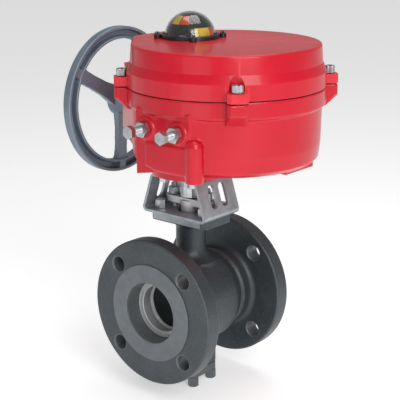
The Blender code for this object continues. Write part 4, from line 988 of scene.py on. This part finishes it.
def make_cover(finishes):
    """The top casting of the actuator."""
    drum, *others = cover_solids()
    cover = mesh_object("top_cover_casting", drum)
    combine(cover, "UNION", others)
    soften(cover, 0.9, 6, 32)
    combine(cover, "DIFFERENCE", [screw_pocket(angle) for angle in EAR_ANGLES])
    inner = DRUM_RADIUS - WALL
    hollow = turned([(0, 280), (inner, 280), (inner, COVER_TOP - 14), (inner - 8, COVER_TOP - WALL),
                     (0, COVER_TOP - WALL)], 96)
    cuts = [
        block((-200, -200, COVER_BOTTOM - 20), (300, 200, COVER_BOTTOM)),
        move(hollow, (DRUM_X, 0, 0)),
        prism(hull_with_nose(inner - 5, -65, 22), 280, COVER_TOP - 12),
        rod(8, 320, 350),
    ]
    cuts += pins([ear_place(angle) for angle in EAR_ANGLES], 4.3, 280, 302)
    combine(cover, "DIFFERENCE", cuts)
    dress(cover, finishes["red_paint"], "fixed", "red_paint", "top_cover", sharp=16)


def socket_screw(name, shank, head, place, finish, slot="bright_steel"):
    """An upright socket cap screw with a knurled head, its head underside at a point.

    shank is (radius, length) and head is (radius, height, socket across flats).
    """
    radius, length = shank
    head_radius, head_height, socket = head
    knurls = 36
    outline = []
    for step in range(knurls * 2):
        reach = head_radius - (0.25 if step % 2 else 0)
        angle = math.tau * step / (knurls * 2)
        outline.append((reach * math.cos(angle), reach * math.sin(angle)))
    inner = [(x * 0.93, y * 0.93) for x, y in outline]
    sections = [(inner, 0), (outline, 0.6), (outline, head_height - 0.9), (inner, head_height)]
    made = mesh_object(name, loft(sections))
    combine(made, "DIFFERENCE", [prism(hexagon(socket), head_height * 0.4, head_height + 3)])
    shapes = [take_shape(made), thread(radius, max(0.5, radius * 0.34), -length, 0.3)]
    screw = mesh_object(name, *[move(shape, place) for shape in shapes])
    dress(screw, finish, "fixed", slot, name_to_node(name), sharp=28)


def make_housing_fasteners(finishes):
    """Cover screws, stop bolts with their nuts, and flush conduit plugs."""
    steel, dark = finishes["bright_steel"], finishes["dark_steel"]
    for number, angle in enumerate(EAR_ANGLES, start=1):
        seat = (*ear_place(angle), EAR_TOP + GAP)
        socket_screw(f"cover_screw_{number}_fine", (3.7, 28), (6.4, 9, 7), seat, steel)
    for side, offset in zip(("left", "right"), STOP_OFFSETS):
        x = DRUM_X + offset
        head_place = (x, HEAD_FACE, STOP_LEVEL)
        nut_place = (x, BOSS_FACE - GAP, STOP_LEVEL)
        make_hex_screw(f"stop_bolt_{side}_fine", head_place, (0, 1, 0), (5, 82, 1), (14, 6.5), steel)
        make_nut(f"stop_lock_nut_{side}_fine", nut_place, (0, -1, 0), (17, 8, 5.1), finishes)
    low = CONDUIT_FACE + GAP
    for side, y in zip(("left", "right"), CONDUIT_ENTRIES):
        plug = mesh_object(f"conduit_plug_{side}_fine", rod(PLUG_RADIUS, low, low + 9, MEDIUM, 0.6))
        combine(plug, "DIFFERENCE", [prism(hexagon(10), low - 2, low + 5)])
        plug.data.transform(Matrix.Translation(Vector((CONDUIT_X, y, 0)) * MM))
        dress(plug, dark, "fixed", "dark_steel", f"conduit_plug_{side}")


# ---------------------------------------------------------------- indicator
def make_dome(finishes):
    """The clear dome with its flat crown, and its black ring and screws."""
    wall = 0.9
    foot = COVER_TOP + GAP
    crown = DOME_CENTRE + DOME_RADIUS - 0.3
    outline = [(DOME_RADIUS - wall, foot), (DOME_FLANGE, foot), (DOME_FLANGE, foot + 2),
               (DOME_RADIUS + 0.3, foot + 2)]
    outline += arc((0, DOME_CENTRE), DOME_RADIUS, 4, 81, 28)
    outline += [(0, crown), (0, crown - wall)]
    outline += arc((0, DOME_CENTRE), DOME_RADIUS - wall, 81, 3, 28)
    dome = mesh_object("indicator_dome_fine", turned(outline, 128))
    dress(dome, finishes["clear_dome"], "fixed", "clear_dome", "indicator_dome")

    top, lip = foot + 5, foot + 2.4
    seat, bore, outer = DOME_FLANGE + GAP, DOME_RADIUS + 0.8, 37
    ring = mesh_object("dome_ring_fine", turned([
        (seat, foot), (outer, foot), (outer, foot + 3.4), (outer - 0.4, top - 0.6), (outer - 1.4, top),
        (bore + 0.6, top), (bore, top - 0.6), (bore, lip), (seat, lip)], 128))
    for angle in DOME_SCREW_ANGLES:
        place = lug_place(angle)
        combine(ring, "UNION", [move(rod(4.5, foot + 0.05, foot + 4.5, 40, 0.4), place)])
        combine(ring, "DIFFERENCE", [move(rod(2, foot - 5, foot + 9, 24), place),
                                     move(rod(3.5, foot + 4, foot + 9, 32), place)])
    dress(ring, finishes["black_plastic"], "fixed", "black_plastic", "dome_ring")
    for number, angle in enumerate(DOME_SCREW_ANGLES, start=1):
        x, y, _ = lug_place(angle)
        socket_screw(f"dome_screw_{number}_fine", (1.7, 3.6), (3.2, 3.2, 2.5), (x, y, foot + 4.3),
                     finishes["dark_steel"], "dark_steel")


def lug_place(angle):
    """The axis of one dome screw."""
    turn = math.radians(angle)
    return DOME_SCREW_CIRCLE * math.cos(turn), DOME_SCREW_CIRCLE * math.sin(turn), 0


def make_rotor(finishes):
    """Black rotor that fills the dome, with four coloured windows on each half."""
    bottom = COVER_TOP + 2
    radius = 30
    crown = 76
    profile = [(0, bottom), (28, bottom)]
    profile += arc((0, DOME_CENTRE), radius, 6, crown, 16)
    profile.append((0, DOME_CENTRE + radius * math.sin(math.radians(crown))))
    rotor = mesh_object("indicator_rotor_fine", turned(profile, 96))
    dress(rotor, finishes["black_plastic"], "output_train", "black_plastic", "indicator_rotor")
    windows = (("yellow", -113, -83, 35, 62), ("orange", -83, -53, 35, 62),
               ("yellow", -39, 2, 6, 26.5), ("orange", 2, 22, 6, 26.5))
    for side, turn in (("front", 0), ("back", 180)):
        for number, (tint, start, end, low, high) in enumerate(windows, start=1):
            middle = (start + end) / 2 + turn
            patch = dome_patch(radius + 0.4, middle, (end - start) / 2, low, high)
            panel = mesh_object(f"rotor_window_{side}_{number}", patch)
            dress(panel, finishes[f"{tint}_plastic"], "output_train", "black_plastic")


def dome_patch(radius, middle, spread, low, high, thickness=0.8):
    """A curved panel on the rotor, between two azimuths and two elevations (degrees)."""
    shape = bmesh.new()
    columns, rows = 16, 10
    rims = []
    for reach in (radius, radius - thickness):
        grid = []
        for row in range(rows + 1):
            rise = math.radians(low + (high - low) * row / rows)
            line = arc((0, 0), reach * math.cos(rise), middle - spread, middle + spread, columns)
            grid.append([shape.verts.new((x, y, DOME_CENTRE + reach * math.sin(rise))) for x, y in line])
        for lower, upper in zip(grid, grid[1:]):
            for column in range(columns):
                shape.faces.new([lower[column], lower[column + 1], upper[column + 1], upper[column]])
        left, right = [line[0] for line in grid], [line[-1] for line in grid]
        rims.append(left[:-1] + grid[-1][:-1] + right[:0:-1] + grid[0][:0:-1])
    bridge(shape, *rims)
    return shape


# ---------------------------------------------------------------- handwheel
def lay_wheel(shape, level=SHAFT_LEVEL):
    """Lay a shape drawn about Z along X, at the height of the handwheel axis unless told otherwise."""
    turn = Matrix(((0, 0, 1), (1, 0, 0), (0, 1, 0)))
    bmesh.ops.rotate(shape, cent=(0, 0, 0), matrix=turn, verts=shape.verts)
    return move(shape, (0, 0, level))


def make_handwheel(finishes):
    """The cast handwheel with its channel rim, and its nut."""
    outer_wall, inner_wall, inner = RIM_RADIUS - 4.2, 84, 80.4
    floor = RIM_OUTBOARD + 3.6
    rim = [(inner, RIM_OUTBOARD + 0.6), (inner + 0.6, RIM_OUTBOARD), (RIM_RADIUS - 1.7, RIM_OUTBOARD),
           (RIM_RADIUS, RIM_OUTBOARD + 2), (RIM_RADIUS, RIM_INBOARD - 0.8), (RIM_RADIUS - 0.7, RIM_INBOARD),
           (outer_wall + 0.4, RIM_INBOARD), (outer_wall, floor), (inner_wall, floor),
           (inner_wall - 0.4, RIM_INBOARD), (inner, RIM_INBOARD)]
    solids = [lay_wheel(turned(rim, 200))]
    for angle in SPOKE_ANGLES:
        web = block((82, -5.5, RIM_OUTBOARD + 2), (93, 5.5, RIM_INBOARD - 1))
        solids += [lay_wheel(spin(spoke(), angle)), lay_wheel(spin(web, angle))]
    hub = HUB_RADIUS + 5
    solids.append(lay_wheel(turned([
        (0, -128), (hub - 2, -127.5), (hub, -125.5), (hub, -118), (HUB_RADIUS + 0.5, -107),
        (HUB_RADIUS - 0.5, -104), (0, -104)], 96)))
    wheel = mesh_object("handwheel_casting", *solids)
    cast_skin(wheel, 0.75, 4)
    combine(wheel, "DIFFERENCE", [lay_wheel(rod(7.3, -140, -95))])
    dress(wheel, finishes["wheel_paint"], "hand_drive", "wheel_paint", "handwheel", sharp=40,
          flat_faces=False)
    make_nut("handwheel_nut_fine", (-128.3, 0, SHAFT_LEVEL), (-1, 0, 0), (19, 6.7, 7.1), finishes,
             "hand_drive")


def spoke():
    """One spoke along +X, wide at the hub, narrow in the middle and flared again into the rim."""
    sections = []
    for reach, half, low, high in ((8, 15, 9, 19), (20, 12.5, 8, 17.5), (38, 9.5, 6.5, 14.5),
                                   (60, 8.8, 5, 12), (74, 9.2, 4, 11), (84, 12, 2, 10)):
        outline = [(-half, RIM_OUTBOARD + low), (half, RIM_OUTBOARD + low),
                   (half, RIM_OUTBOARD + high), (-half, RIM_OUTBOARD + high)]
        sections.append((outline, reach))
    return lay_wheel(loft(sections), 0)


# ---------------------------------------------------------------- pieces that stay as in the CAD
def repaint(finishes):
    """Give every CAD node that still shows its procedural material and smooth rounds."""
    special = {"bracket_steel": "plate_steel", "v_port_segment": "satin_steel"}
    for part in frame["record"]["subparts"]:
        node = nodes[part["node"]]
        if node.hide_render:
            continue
        slot = part["material_slot"]
        node.data.materials.clear()
        node.data.materials.append(finishes[special.get(part["node"], special.get(slot, slot))])
        node.data.shade_smooth()
        node.data.set_sharp_from_angle(angle=math.radians(32))


def make_finishes():
    """Every finish by name."""
    return {
        "red_paint": red_paint(),
        "cast_steel": cast_steel(),
        "machined_ring": machined_ring(),
        "plate_steel": plate_steel(),
        "bright_steel": bright_steel(),
        "satin_steel": satin_steel(),
        "dark_steel": bright_steel("dark_steel", (0.17, 0.185, 0.20), 0.28, 0.48),
        "bronze": bright_steel("bronze", (0.55, 0.36, 0.15), 0.22, 0.4),
        "motor_grey": bright_steel("motor_grey", (0.32, 0.33, 0.34), 0.35, 0.55),
        "wheel_paint": wheel_paint(),
        "clear_dome": clear_plastic(),
        "black_plastic": plastic("black_plastic", (0.012, 0.012, 0.013)),
        "yellow_plastic": plastic("yellow_plastic", (0.95, 0.62, 0.03)),
        "orange_plastic": plastic("orange_plastic", (0.85, 0.10, 0.02)),
        "seal_rubber": sealing("seal_rubber", (0.012, 0.010, 0.010)),
        "seat_polymer": sealing("seat_polymer", (0.75, 0.74, 0.70)),
        "graphite": sealing("graphite", (0.04, 0.04, 0.045)),
    }


# ---------------------------------------------------------------- studio
def make_floor():
    """A plain pale floor under the lowest bolt heads."""
    level = cad_box[0].z / MM - 0.5
    depth = 10
    reach = 6000
    floor = mesh_object("studio_floor", block((-reach, -reach, level - depth), (reach, reach, level)))
    material = bpy.data.materials.new("floor_pale")
    material.use_nodes = True
    shader = material.node_tree.nodes["Principled BSDF"]
    shader.inputs["Base Color"].default_value = (0.93, 0.93, 0.93, 1)
    shader.inputs["Roughness"].default_value = 0.8
    shader.inputs["Emission Color"].default_value = (1, 1, 1, 1)
    shader.inputs["Emission Strength"].default_value = 0.4
    floor.data.materials.append(material)


def soft_box(name, place, target, width, height, power):
    """A rectangular studio lamp that faces a target."""
    lamp = bpy.data.lights.new(name, "AREA")
    lamp.shape = "RECTANGLE"
    lamp.size = width
    lamp.size_y = height
    lamp.energy = power
    made = bpy.data.objects.new(name, lamp)
    made.location = place
    made.rotation_mode = "QUATERNION"
    made.rotation_quaternion = (Vector(target) - Vector(place)).to_track_quat("-Z", "Y")
    bpy.context.scene.collection.objects.link(made)


def make_lights():
    """Soft studio light: a white surround, a large key to the right and above, and a fill in front."""
    bpy.context.scene.view_settings.view_transform = "Standard"
    world = bpy.data.worlds.new("studio")
    bpy.context.scene.world = world
    world.use_nodes = True
    background = world.node_tree.nodes["Background"]
    background.inputs["Color"].default_value = (1, 1, 1, 1)
    background.inputs["Strength"].default_value = 0.33
    centre = (0.02, 0, 0.13)
    soft_box("key", (1.4, -0.75, 0.9), centre, 0.9, 1.2, 17)
    soft_box("top", (0.1, 0.2, 1.7), centre, 1.2, 1.2, 11)
    soft_box("front_fill", (0.2, -1.7, 0.2), centre, 1.0, 1.0, 3)


def make_camera():
    """A long lens from the front right, a little above, turned by its own measured axes."""
    data = bpy.data.cameras.new("camera")
    data.lens = 100
    data.sensor_width = 36
    data.clip_start = 0.05
    data.clip_end = 50
    camera = bpy.data.objects.new("camera", data)
    right = Vector((0.7702, 0.6378, -0.0017))
    up = Vector((-0.1741, 0.2128, 0.9615))
    back = right.cross(up)
    turn = Matrix((right, up, back)).transposed().to_4x4()
    camera.matrix_world = Matrix.Translation((0.888, -1.0528, 0.525)) @ turn
    bpy.context.scene.collection.objects.link(camera)
    bpy.context.scene.camera = camera


finishes = make_finishes()
make_valve_body(finishes)
make_seat_retainer(finishes)
make_lower_cover(finishes)
make_gland(finishes)
make_bracket(finishes)
make_base(finishes)
make_cover(finishes)
make_housing_fasteners(finishes)
make_dome(finishes)
make_rotor(finishes)
make_handwheel(finishes)
repaint(finishes)
make_floor()
make_lights()
make_camera()
